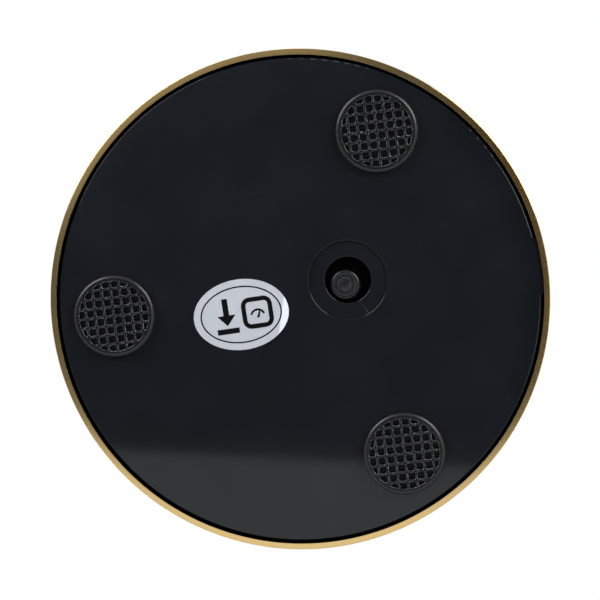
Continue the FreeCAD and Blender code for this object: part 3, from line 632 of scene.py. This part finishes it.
def painted_bore_shade():
    """Thin matt black over the hoop's bore, so that the gap round the base looks dark: painted shade in the gap."""
    material, tree, shader = new_finish("painted_bore_shade")
    place = surface_place(tree)
    tree.links.new(shades(tree, grain(tree, place, 400), (0.3, 0.0010), (0.7, 0.0024)), shader.inputs["Base Color"])
    dulled_between(tree, shader, place, 900, 0.55, 0.7)
    set_on(shader, Specular_IOR_Level=0.12)
    return material


def lathe(profile, turns, closed=True):
    """Sweeps a profile of (radius, height) points round the middle, where an open one starts and ends."""
    bm = bmesh.new()
    poles = [] if closed else [bm.verts.new((0, 0, profile[k][1])) for k in (0, -1)]
    ring = profile if closed else profile[1:-1]
    loops = [loop_of(bm, arc_points((0, 0), radius, 0, 360, turns)[:-1], z) for radius, z in ring]
    skin(bm, loops + (loops[:1] if closed else []))
    for pole, loop in zip(poles, (loops[0], loops[-1])):
        for k in range(turns):
            bm.faces.new((pole, loop[k], loop[(k + 1) % turns]))
    return bm


def rounded_profile(corners, steps=4):
    """A profile whose corners are (radius, height, rounding)."""
    outline = []
    count = len(corners)
    for k, (x, z, rounding) in enumerate(corners):
        if not rounding:
            outline.append((x, z))
            continue
        here = Vector((x, z))
        before = (Vector(corners[k - 1][:2]) - here).normalized()
        after = (Vector(corners[(k + 1) % count][:2]) - here).normalized()
        centre = here + (before + after) * rounding
        start = here + before * rounding - centre
        end = here + after * rounding - centre
        for n in range(steps + 1):
            share = n / steps
            turn = start * math.cos(share * math.pi / 2) + end * math.sin(share * math.pi / 2)
            outline.append(tuple(centre + turn))
    return outline


def cut_away(piece, bm, smooth):
    """Cuts the closed mesh out of the piece, and keeps the result as the piece's own mesh."""
    bmesh.ops.recalc_face_normals(bm, faces=bm.faces)
    cutter = linked_mesh("cutter", bm)
    cut = piece.modifiers.new("cut", "BOOLEAN")
    cut.operation = "DIFFERENCE"
    cut.solver = "EXACT"
    cut.object = cutter
    piece.modifiers.move(len(piece.modifiers) - 1, 0)
    bpy.context.view_layer.update()
    seen = piece.evaluated_get(bpy.context.evaluated_depsgraph_get())
    result = bpy.data.meshes.new_from_object(seen)
    piece.modifiers.remove(cut)
    piece.data = result
    result.shade_smooth()
    result.set_sharp_from_angle(angle=math.radians(smooth))
    bpy.data.objects.remove(cutter)


def charging_window():
    """The solid that is cut out of the rim in front of the socket, wider where it leaves the outside."""
    bm = bmesh.new()
    outline = rounded_square(0, 0, window_width, window_corner, window_height, 10)
    loops = [[bm.verts.new((port_middle.x + x, y, port_middle.z + z)) for x, z in grown(outline, wider)]
             for y, wider in window_cuts]
    skin(bm, loops)
    bm.faces.new(loops[0])
    bm.faces.new(loops[-1])
    return bm


def gold_rim(finish, bore_shade):
    ledge_low = tray_low.z - ledge_thickness
    bottom, top = rim_low.z, rim_high.z
    profile = rounded_profile([
        (rim_bore, bottom, rim_bore_edge),
        (rim_radius, bottom, rim_foot_edge),
        (rim_radius, top, rim_edge),
        (rim_bore, top, rim_inner_edge),
        (rim_bore, tray_low.z, 0),
        (ledge_bore, tray_low.z, 0),
        (ledge_bore, ledge_low, rim_inner_edge),
        (rim_bore, ledge_low, 0),
    ])
    rim = add_piece("gold_rim", lathe(profile, rim_turns), "platform", finish, smooth=rim_sharp)
    cut_away(rim, charging_window(), rim_sharp)
    rim.data.materials.append(bore_shade)
    # The bore below the tray takes the matt black: painted shade in the gap round the base.
    for face in rim.data.polygons:
        height, reach = face.center.z, face.center.xy.length
        in_bore = reach < rim_bore + bore_shade_over
        if in_bore and bottom + bore_shade_from_foot < height < tray_low.z - bore_shade_from_tray:
            face.material_index = 1
    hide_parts("rim_ring")


gold_rim(turned_gold(), painted_bore_shade())


# ---- Glass top ----
# A 6 mm disc of toughened glass with ground and polished edges. It lies in the rim on foam
# tape, over a film that is printed black except for the display's window.

glass_low, glass_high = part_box("glass_top")
glass_radius = 0.1264
glass_bevel = 0.0009
glass_under_bevel = 0.0004
glass_sides = 360


def toughened_glass():
    material, tree, shader = new_finish("toughened_glass")
    place = surface_place(tree)
    smears = grain(tree, surface_place(tree, stretch=(1, 0.35, 1), turn=(0, 0, 35)), 22, 6, 0.6)
    tree.links.new(shades(tree, smears, (0.45, 0.015), (0.72, 0.085)), shader.inputs["Roughness"])
    tree.links.new(shades(tree, grain(tree, place, 8), (0.3, (0.80, 0.86, 0.85)), (0.7, (0.86, 0.90, 0.89))),
                   shader.inputs["Base Color"])
    set_on(shader, IOR=1.5, Transmission_Weight=1.0)
    return material


def glass_disc():
    profile = rounded_profile([
        (0, glass_low.z, 0),
        (glass_radius, glass_low.z, glass_under_bevel),
        (glass_radius, glass_high.z, glass_bevel),
        (0, glass_high.z, 0),
    ], steps=6)
    disc = add_piece("glass_disc", lathe(profile, glass_sides, closed=False), "platform",
                     toughened_glass(), smooth=30)
    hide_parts("glass_top")


glass_disc()


# ---- Tape and printed film under the glass ----
# A grey foam tape runs round under the edge of the glass and takes up the tray's unevenness. The
# film is screen printed in matt black from behind, and is clear only over the display.

def grained(name, dark, light, scale, rough, raise_by=0.0, stretch=(1, 1, 1), turn=(0, 0, 0), **fixed):
    """A finish that wanders between two colours and between two roughnesses."""
    material, tree, shader = new_finish(name)
    noise = grain(tree, surface_place(tree, stretch, turn), scale, 5)
    tree.links.new(shades(tree, noise, (0.3, dark), (0.72, light)), shader.inputs["Base Color"])
    fine = grain(tree, surface_place(tree, stretch, turn), scale * 4.7, 3)
    tree.links.new(shades(tree, fine, (0.3, rough[0]), (0.7, rough[1])), shader.inputs["Roughness"])
    if raise_by:
        relief(tree, shader, fine, 0.4, raise_by)
    set_on(shader, **fixed)
    return material


dress("glass_bond", grained("foam_tape", (0.10, 0.10, 0.105), (0.16, 0.16, 0.165), 900, (0.8, 0.95), 0.00008))
dress("mask_film", grained("printed_film", (0.0045, 0.0048, 0.0055), (0.0085, 0.0088, 0.0095), 140, (0.42, 0.55),
                           0.00001))


# ---- Display ----
# A numeric light panel on its own board, screwed into a black frame under the glass. Its face
# is smoked plastic, and the bars of two digits and a point shine through it.

panel_low, panel_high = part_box("display_panel")
panel_middle = (panel_low + panel_high) / 2
digit_height = 0.0118
digit_width = 0.0062
digit_pitch = 0.0096
bar_width = 0.00125
bar_gap = 0.0002
bar_thickness = 0.00012
bar_bevel = 0.00004
bar_lift = 0.00001
point_size = bar_width * 1.25
point_corner = 0.0004
digit_lean = math.tan(math.radians(6))
digit_places = (-1, 0.35)


def digit_light():
    material, tree, shader = new_finish("digit_light")
    place = surface_place(tree)
    warm = shades(tree, grain(tree, place, 420, 2), (0.3, (1.0, 0.80, 0.55)), (0.7, (1.0, 0.90, 0.72)))
    tree.links.new(warm, shader.inputs["Emission Color"])
    tree.links.new(warm, shader.inputs["Base Color"])
    dulled_between(tree, shader, place, 500, 0.3, 0.45)
    set_on(shader, Emission_Strength=2.6)
    return material


def bar_outline(start, end):
    """A bar from start to end with both ends cut to a point."""
    along = (Vector(end) - Vector(start)).normalized()
    across = Vector((-along.y, along.x)) * bar_width / 2
    tip = along * bar_width / 2
    first, last = Vector(start) + along * bar_gap, Vector(end) - along * bar_gap
    return [first, first + tip - across, last - tip - across, last, last - tip + across, first + tip + across]


def lit_digits():
    """Two noughts with a point between them."""
    bm = bmesh.new()
    w, h = digit_width / 2, digit_height / 2
    bars = [((-w, h), (w, h)), ((w, h), (w, 0)), ((w, 0), (w, -h)),
            ((-w, -h), (w, -h)), ((-w, 0), (-w, -h)), ((-w, h), (-w, 0))]
    outlines = [(place * digit_pitch, bar_outline(*bar)) for place in digit_places for bar in bars]
    point = [Vector(p) for p in rounded_square(0, -h + bar_width * 0.1, point_size, point_corner)]
    outlines.append((sum(digit_places) / 2 * digit_pitch, point))
    z = panel_high.z + bar_lift
    for shift, outline in outlines:
        leaning = [(panel_middle.x + shift + p[0] + p[1] * digit_lean, panel_middle.y + p[1]) for p in outline]
        lower = loop_of(bm, leaning, z)
        upper = loop_of(bm, grown(leaning, -bar_bevel), z + bar_thickness)
        wall_between(bm, lower, upper)
        bm.faces.new(lower)
        bm.faces.new(upper)
    add_piece("lit_digits", bm, "platform", digit_light(), smooth=30)


lit_digits()
dress("display_panel", grained("smoked_panel", (0.010, 0.009, 0.009), (0.018, 0.016, 0.016), 60, (0.12, 0.2),
                               IOR=1.5))
dress("display_frame", grained("frame_moulding", (0.012, 0.012, 0.013), (0.022, 0.022, 0.024), 300, (0.42, 0.55),
                               0.00002))


# ---- Tray ----
# A pressed steel disc, zinc plated to a faint spangle. It carries the glass, is screwed to the
# rim's ledge at its edge, and stands on the free ends of the three load cells.

def zinc_plate():
    material, tree, shader = new_finish("zinc_plate")
    spangle = tree.nodes.new("ShaderNodeTexVoronoi")
    spangle.inputs["Scale"].default_value = 160
    tree.links.new(surface_place(tree), spangle.inputs["Vector"])
    facets = tree.nodes.new("ShaderNodeRGBToBW")
    tree.links.new(spangle.outputs["Color"], facets.inputs["Color"])
    tree.links.new(shades(tree, facets.outputs["Val"], (0.2, (0.50, 0.51, 0.53)), (0.8, (0.66, 0.67, 0.69))),
                   shader.inputs["Base Color"])
    tree.links.new(shades(tree, facets.outputs["Val"], (0.2, 0.28), (0.8, 0.42)), shader.inputs["Roughness"])
    set_on(shader, Metallic=1.0)
    return material


dress("platform_tray", zinc_plate())


# ---- Load cells, spacers and strain gauges ----
# Each cell is a bar of bare aluminium alloy with a bored-out middle that bends a little. The
# gauges are amber foil glued over the thin places.

alloy = grained("milled_alloy", (0.58, 0.59, 0.60), (0.72, 0.73, 0.74), 70, (0.26, 0.4), 0.000008,
                stretch=(1, 1, 9), Metallic=1.0, Anisotropic=0.4)
for side in ("heel", "right", "left"):
    dress(f"load_cell_{side}", alloy)
dress("cell_gauges", grained("gauge_foil", (0.42, 0.20, 0.045), (0.60, 0.33, 0.09), 800, (0.2, 0.34), 0.00001))


# ---- Screws and spacers ----
# Zinc-plated steel. The screws are cold formed and rolled, and all of them are threaded into
# plastic, alloy or brass, so none needs a nut. The spacers are turned.

screw_steel = grained("screw_steel", (0.40, 0.40, 0.41), (0.62, 0.62, 0.63), 420, (0.24, 0.38), 0.00001,
                      Metallic=1.0)
for node in ("cell_base_screws", "platform_screws", "tray_rim_screws", "cell_spacers",
             "board_screws", "charge_board_screws", "display_screws"):
    dress(node, screw_steel)


# ---- Main board, display board and charging board ----
# Glass-fibre boards under a green mask with copper tracks that show as lighter lines. Black
# chips, cream sockets and plugs stand on them.

def circuit_board():
    material, tree, shader = new_finish("circuit_board")
    tracks = tree.nodes.new("ShaderNodeTexBrick")
    tracks.inputs["Scale"].default_value = 240
    tracks.inputs["Mortar Size"].default_value = 0.09
    tracks.inputs["Color1"].default_value = (0.012, 0.085, 0.032, 1)
    tracks.inputs["Color2"].default_value = (0.016, 0.105, 0.040, 1)
    tracks.inputs["Mortar"].default_value = (0.030, 0.17, 0.065, 1)
    tree.links.new(surface_place(tree, turn=(0, 0, 45)), tracks.inputs["Vector"])
    wander = shades(tree, grain(tree, surface_place(tree), 90), (0.35, 0.75), (0.65, 1.0))
    tree.links.new(blend(tree, "MULTIPLY", tracks.outputs["Color"], wander), shader.inputs["Base Color"])
    tree.links.new(shades(tree, tracks.outputs["Fac"], (0.0, 0.3), (1.0, 0.22)), shader.inputs["Roughness"])
    relief(tree, shader, tracks.outputs["Fac"], 0.4, 0.00003)
    return material


board = circuit_board()
for node in ("main_board", "display_board", "charge_board"):
    dress(node, board)
dress("board_chips", grained("chip_resin", (0.016, 0.016, 0.017), (0.030, 0.030, 0.031), 1500, (0.45, 0.62),
                             0.00001))
cream = grained("cream_nylon", (0.66, 0.62, 0.50), (0.76, 0.73, 0.62), 260, (0.38, 0.5), 0.00001)
for node in ("board_sockets", "lead_plugs"):
    dress(node, cream)


# ---- Battery ----
# A flat lithium cell in crimped silver foil, held to the base by a pad of white foam tape.

dress("battery_pack", grained("battery_foil", (0.62, 0.63, 0.65), (0.78, 0.79, 0.80), 260, (0.2, 0.34), 0.00004,
                              Metallic=0.85))
dress("battery_tape", grained("white_foam", (0.62, 0.62, 0.60), (0.74, 0.74, 0.72), 1300, (0.8, 0.95), 0.00008))


# ---- Charging socket ----
# The folded steel shell of the charging socket, soldered to its own small board and facing the
# window in the rim. The plug of the cord goes into it only while the battery charges.

dress("charge_port", grained("port_shell", (0.46, 0.46, 0.47), (0.66, 0.66, 0.67), 900, (0.18, 0.3), 0.000006,
                             stretch=(1, 0.2, 1), Metallic=1.0))


# ---- Leads and display ribbon ----
# Grey PVC jackets on the cell, battery and charging leads. The ribbon to the display is a flat
# brown polyimide strip with copper lines along it.

jacket = grained("lead_jacket", (0.085, 0.088, 0.095), (0.135, 0.14, 0.15), 500, (0.4, 0.52), 0.00001)
for node in ("cell_lead_heel", "cell_lead_right", "cell_lead_left", "battery_lead", "charge_lead"):
    dress(node, jacket)


def polyimide_ribbon():
    material, tree, shader = new_finish("polyimide_ribbon")
    lines = tree.nodes.new("ShaderNodeTexWave")
    lines.inputs["Scale"].default_value = 320
    lines.inputs["Distortion"].default_value = 0.0
    tree.links.new(surface_place(tree), lines.inputs["Vector"])
    tree.links.new(shades(tree, lines.outputs["Fac"], (0.35, (0.22, 0.085, 0.016)), (0.6, (0.46, 0.22, 0.06))),
                   shader.inputs["Base Color"])
    dulled_between(tree, shader, surface_place(tree), 700, 0.24, 0.36)
    return material


dress("display_cable", polyimide_ribbon())


# ---- Unit button ----
# A black cap with a bevelled edge and two fine rings turned into its face. It slides in the
# well, stands on a steel coil spring, and its stem presses the switch on the main board.

cap_low, cap_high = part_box("button_cap")
cap_centre = (cap_low + cap_high) / 2
cap_radius = 0.0079
cap_bevel = 0.0008
cap_flange_radius = (cap_high.x - cap_low.x) / 2
cap_flange_thickness = 0.0008
cap_wall = 0.0016
cap_face_thickness = 0.0016
cap_soft = 0.00022
cap_ring_radii = (0.0032, 0.0056)
cap_ring_width = 0.0003
cap_ring_lip = 0.00022
cap_ring_depth = 0.00007
cap_sides = 180
lining_glue = 0.00004
lining_thickness = 0.0002
lining_floor = 0.0003
lining_mouth = (0.0003, 0.0004)
lining_sides = 120
cap_gap = 0.00015


def button_moulding():
    material, tree, shader = new_finish("button_moulding")
    place = surface_place(tree)
    tone = shades(tree, grain(tree, place, 240, 4),
                  (0.3, (0.0036, 0.0040, 0.0056)), (0.7, (0.0078, 0.0082, 0.0104)))
    pale = shades(tree, grain(tree, place, 300), (0.45, 0.0), (0.8, 0.02))
    marks = blend(tree, "MULTIPLY", scratches(tree, 75, 1100, 0.26), pale)
    tree.links.new(blend(tree, "ADD", tone, marks), shader.inputs["Base Color"])
    dulled_between(tree, shader, place, 420, 0.22, 0.32)
    relief(tree, shader, grain(tree, place, 4200, 3), 0.10, 0.00003)
    set_on(shader, IOR=1.5)
    return material


def turned_cap():
    face, back = cap_low.z, cap_high.z
    side = cap_radius - cap_bevel
    inside = cap_radius - cap_wall
    profile = [(0, face)]
    for radius in cap_ring_radii:
        profile += [(radius - cap_ring_lip, face), (radius, face + cap_ring_depth),
                    (radius + cap_ring_width, face + cap_ring_depth),
                    (radius + cap_ring_width + cap_ring_lip, face)]
    profile += [(side - cap_soft, face), (side + cap_soft * 0.3, face + cap_soft * 0.55),
                (cap_radius - cap_soft * 0.55, face + cap_bevel - cap_soft * 0.3),
                (cap_radius, face + cap_bevel + cap_soft),
                (cap_radius, back - cap_flange_thickness), (cap_flange_radius, back - cap_flange_thickness),
                (cap_flange_radius, back), (inside, back),
                (inside, face + cap_face_thickness), (0, face + cap_face_thickness)]
    bm = lathe(profile, cap_sides, closed=False)
    bmesh.ops.translate(bm, verts=bm.verts, vec=(cap_centre.x, cap_centre.y, 0))
    cap = add_piece("turned_cap", bm, "unit_button", button_moulding(), smooth=30)
    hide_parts("button_cap")


turned_cap()


def painted_shade_well_lining(finish):
    """A sleeve of near-black flock, glued round the well and over its floor about the cap: painted shade in the
    well.
    """
    mouth = base_low.z + dish_depth
    floor = mouth + well_depth
    outer, inner = well_radius - lining_glue, well_radius - lining_glue - lining_thickness
    hole = cap_radius + cap_gap
    sheet_face, sheet_back = floor - lining_floor, floor - lining_glue
    bm = bmesh.new()

    def ring(centre, radius, z):
        return loop_of(bm, arc_points((centre.x, centre.y), radius, 0, 360, lining_sides)[:-1], z)

    loops = [ring(dish_centre, outer, mouth + lining_mouth[0]), ring(dish_centre, inner, mouth + lining_mouth[1]),
             ring(dish_centre, inner, sheet_face), ring(cap_centre, hole, sheet_face),
             ring(cap_centre, hole, sheet_back), ring(dish_centre, outer, sheet_back)]
    skin(bm, loops + loops[:1])
    add_piece("painted_shade_well_lining", bm, "base", finish, smooth=30)


# Near-black flock with no shine: painted shade in the well round the cap.
painted_shade_well_lining(grained("painted_shade_flock", (0.0008, 0.0008, 0.0009), (0.0018, 0.0018, 0.0020), 3000, (0.9, 1.0),
                    Specular_IOR_Level=0.0))
dress("switch_plunger", grained("stem_nylon", (0.60, 0.58, 0.52), (0.72, 0.70, 0.64), 500, (0.35, 0.48), 0.00001))
dress("switch_body", grained("switch_resin", (0.020, 0.020, 0.022), (0.034, 0.034, 0.036), 700, (0.35, 0.5),
                             0.00001))
dress("button_spring", grained("spring_wire", (0.42, 0.42, 0.43), (0.60, 0.60, 0.61), 900, (0.2, 0.32), 0.000004,
                               Metallic=1.0))


# ---- Floor, light and camera ----
# The scale is looked at from below, a little to one side, against a white ground. The pale
# floor shows only from above and is clear under the scale, so light reaches the underside.

def stage_mesh(name, bm, material):
    thing = linked_mesh(name, bm)
    thing.data.materials.append(material)
    return thing


floor_clear = 0.137
floor_fade = (0.35, 2.2)
floor_reach = 6


def worked(tree, operation, first, second):
    """A sum or comparison of a node's output and a second output or number, kept between 0 and 1."""
    node = tree.nodes.new("ShaderNodeMath")
    node.operation = operation
    node.use_clamp = True
    tree.links.new(first, node.inputs[0])
    if isinstance(second, float):
        node.inputs[1].default_value = second
    else:
        tree.links.new(second, node.inputs[1])
    return node.outputs["Value"]


def one_sided_floor():
    """Pale paint that shows only from above, clear right under the scale, and white far away."""
    material, tree, shader = new_finish("one_sided_floor")
    set_on(shader, Base_Color=(0.86, 0.86, 0.86), Roughness=0.9, Specular_IOR_Level=0.1)
    place = tree.nodes.new("ShaderNodeTexCoord")
    reach = tree.nodes.new("ShaderNodeVectorMath")
    reach.operation = "LENGTH"
    tree.links.new(place.outputs["Object"], reach.inputs[0])
    fade = tree.nodes.new("ShaderNodeMapRange")
    fade.interpolation_type = "SMOOTHSTEP"
    fade.inputs["From Min"].default_value, fade.inputs["From Max"].default_value = floor_fade
    tree.links.new(reach.outputs["Value"], fade.inputs["Value"])
    haze = tree.nodes.new("ShaderNodeEmission")
    painted = tree.nodes.new("ShaderNodeMixShader")
    tree.links.new(fade.outputs["Result"], painted.inputs["Fac"])
    tree.links.new(shader.outputs["BSDF"], painted.inputs[1])
    tree.links.new(haze.outputs["Emission"], painted.inputs[2])
    path = tree.nodes.new("ShaderNodeLightPath")
    face = tree.nodes.new("ShaderNodeNewGeometry")
    away = worked(tree, "GREATER_THAN", reach.outputs["Value"], floor_clear)
    shown = worked(tree, "MAXIMUM", path.outputs["Is Camera Ray"], away)
    front = worked(tree, "SUBTRACT", shown, face.outputs["Backfacing"])
    clear = tree.nodes.new("ShaderNodeBsdfTransparent")
    mix = tree.nodes.new("ShaderNodeMixShader")
    tree.links.new(front, mix.inputs["Fac"])
    tree.links.new(clear.outputs["BSDF"], mix.inputs[1])
    tree.links.new(painted.outputs["Shader"], mix.inputs[2])
    tree.links.new(mix.outputs["Shader"], tree.nodes["Material Output"].inputs["Surface"])
    return material


def floor():
    bm = bmesh.new()
    bmesh.ops.create_grid(bm, x_segments=1, y_segments=1, size=floor_reach)
    stage_mesh("floor", bm, one_sided_floor())


view_roll = math.radians(5.06)
view_aim = (0.00102, 0.00025)
view_side = (0.1016, 0.0667)
view_distance = 1.175
view_lens = 136.8
picture_right = Vector((-math.sin(view_roll), math.cos(view_roll), 0))
picture_up = Vector((math.cos(view_roll), math.sin(view_roll), 0))
downwards = Vector((0, 0, -1))


def in_view(right, up, down=0.0):
    """A place that lies right and up as the view has it, and down below the scale."""
    return picture_right * right + picture_up * up + downwards * down


def soft_box(name, place, size, power, colour=(1, 1, 1)):
    """A rectangular lamp that faces the scale."""
    lamp = bpy.data.lights.new(name, "AREA")
    lamp.shape = "RECTANGLE"
    lamp.size, lamp.size_y = size
    lamp.energy = power
    lamp.color = colour
    box = bpy.data.objects.new(name, lamp)
    box.location = place
    box.rotation_euler = (-Vector(place)).to_track_quat("-Z", "Y").to_euler()
    bpy.context.scene.collection.objects.link(box)


def glow_card(name, bm, radiance):
    """A lit card that the camera does not see, a little uneven as real ones are."""
    material = bpy.data.materials.new(name)
    material.use_nodes = True
    tree = material.node_tree
    glow = tree.nodes.new("ShaderNodeEmission")
    place = tree.nodes.new("ShaderNodeTexCoord")
    cloud = tree.nodes.new("ShaderNodeTexNoise")
    cloud.inputs["Scale"].default_value = 1.5
    tree.links.new(place.outputs["Object"], cloud.inputs["Vector"])
    darker, lighter = (tuple(v * share for v in radiance) for share in (0.96, 1.04))
    tree.links.new(shades(tree, cloud.outputs["Fac"], (0.2, darker), (0.8, lighter)), glow.inputs["Color"])
    tree.links.new(glow.outputs["Emission"], tree.nodes["Material Output"].inputs["Surface"])
    card = stage_mesh(name, bm, material)
    card.visible_camera = False
    card.visible_shadow = False


def bounce_card(name, right, up, down, radiance, lean=0.0):
    """A lit white card level below the scale, that spans the ranges right and up of the view."""
    bm = bmesh.new()
    bm.faces.new([bm.verts.new(in_view(r, u + r * lean, down))
                  for r, u in ((right[0], up[0]), (right[1], up[0]), (right[1], up[1]), (right[0], up[1]))])
    glow_card(name, bm, (radiance, radiance, radiance))


card_drop = 1.2
arc_middle = (-0.104, -0.067, 1.195)


def arc_card(name, start, end, reach, radiance):
    """A curved card where the hoop's foot looks, from start to end degrees, so only the rim mirrors it."""
    centre = in_view(*arc_middle)
    bm = bmesh.new()
    strip(bm, [[centre + in_view(x, y) for x, y in arc_points((0, 0), radius, start, end, 24)] for radius in reach])
    glow_card(name, bm, radiance)


def light_room():
    """White to the camera, and grey all round for the reflections: darker from straight below."""
    world = bpy.data.worlds.new("studio")
    bpy.context.scene.world = world
    world.use_nodes = True
    tree = world.node_tree
    tree.nodes.clear()
    place = tree.nodes.new("ShaderNodeTexCoord")
    split = tree.nodes.new("ShaderNodeSeparateXYZ")
    tree.links.new(place.outputs["Generated"], split.inputs["Vector"])
    height = tree.nodes.new("ShaderNodeMapRange")
    height.inputs["From Min"].default_value = -1.0
    height.inputs["From Max"].default_value = 1.0
    tree.links.new(split.outputs["Z"], height.inputs["Value"])
    room = shades(tree, height.outputs["Result"], (0.0, (0.115, 0.115, 0.120)), (0.06, (0.13, 0.13, 0.135)),
                  (0.16, 0.48), (0.5, 0.55), (0.7, 0.62), (1.0, 0.70))
    path = tree.nodes.new("ShaderNodeLightPath")
    seen = tree.nodes.new("ShaderNodeMix")
    seen.data_type = "RGBA"
    seen.inputs["B"].default_value = (1, 1, 1, 1)
    tree.links.new(path.outputs["Is Camera Ray"], seen.inputs["Factor"])
    tree.links.new(room, seen.inputs["A"])
    sky = tree.nodes.new("ShaderNodeBackground")
    tree.links.new(seen.outputs["Result"], sky.inputs["Color"])
    out = tree.nodes.new("ShaderNodeOutputWorld")
    tree.links.new(sky.outputs["Background"], out.inputs["Surface"])


def camera_below():
    aim = Vector((0, 0, rim_low.z)) + in_view(*view_aim)
    place = aim + in_view(*view_side, view_distance)
    back = (place - aim).normalized()
    right = picture_up.cross(back).normalized()
    lens = bpy.data.cameras.new("camera")
    lens.lens = view_lens
    lens.sensor_width = 36
    camera = bpy.data.objects.new("camera", lens)
    bpy.context.scene.collection.objects.link(camera)
    turn = Matrix((right, back.cross(right), back)).transposed().to_4x4()
    camera.matrix_world = Matrix.Translation(place) @ turn
    bpy.context.scene.camera = camera


floor()
light_room()
bounce_card("lower_card", (-0.75, 0.6), (-0.95, -0.240), card_drop, 0.97, -0.037)
bounce_card("side_card", (0.30, 0.62), (-0.26, 0.10), card_drop, 2.6)
arc_card("dark_flag", -24, 52, (0.235, 0.38), (0.040, 0.026, 0.010))
arc_card("upper_card", 82, 160, (0.255, 0.52), (0.46, 0.45, 0.43))
for side in (-1, 1):
    soft_box(f"low_key_{side + 2}", in_view(0.75 * side, 0.62, 0.62), (0.7, 0.6), 10.0 + side, (1.0, 0.985, 0.97))
soft_box("top_left", (-0.9, -0.7, 1.3), (0.9, 0.6), 9, (1.0, 0.985, 0.96))
soft_box("top_right", (1.1, -0.2, 1.0), (0.5, 0.9), 5, (0.96, 0.98, 1.0))
soft_box("top_back", (0.1, 1.2, 1.1), (1.2, 0.4), 5)
camera_below()
bpy.context.scene.view_settings.view_transform = "Standard"
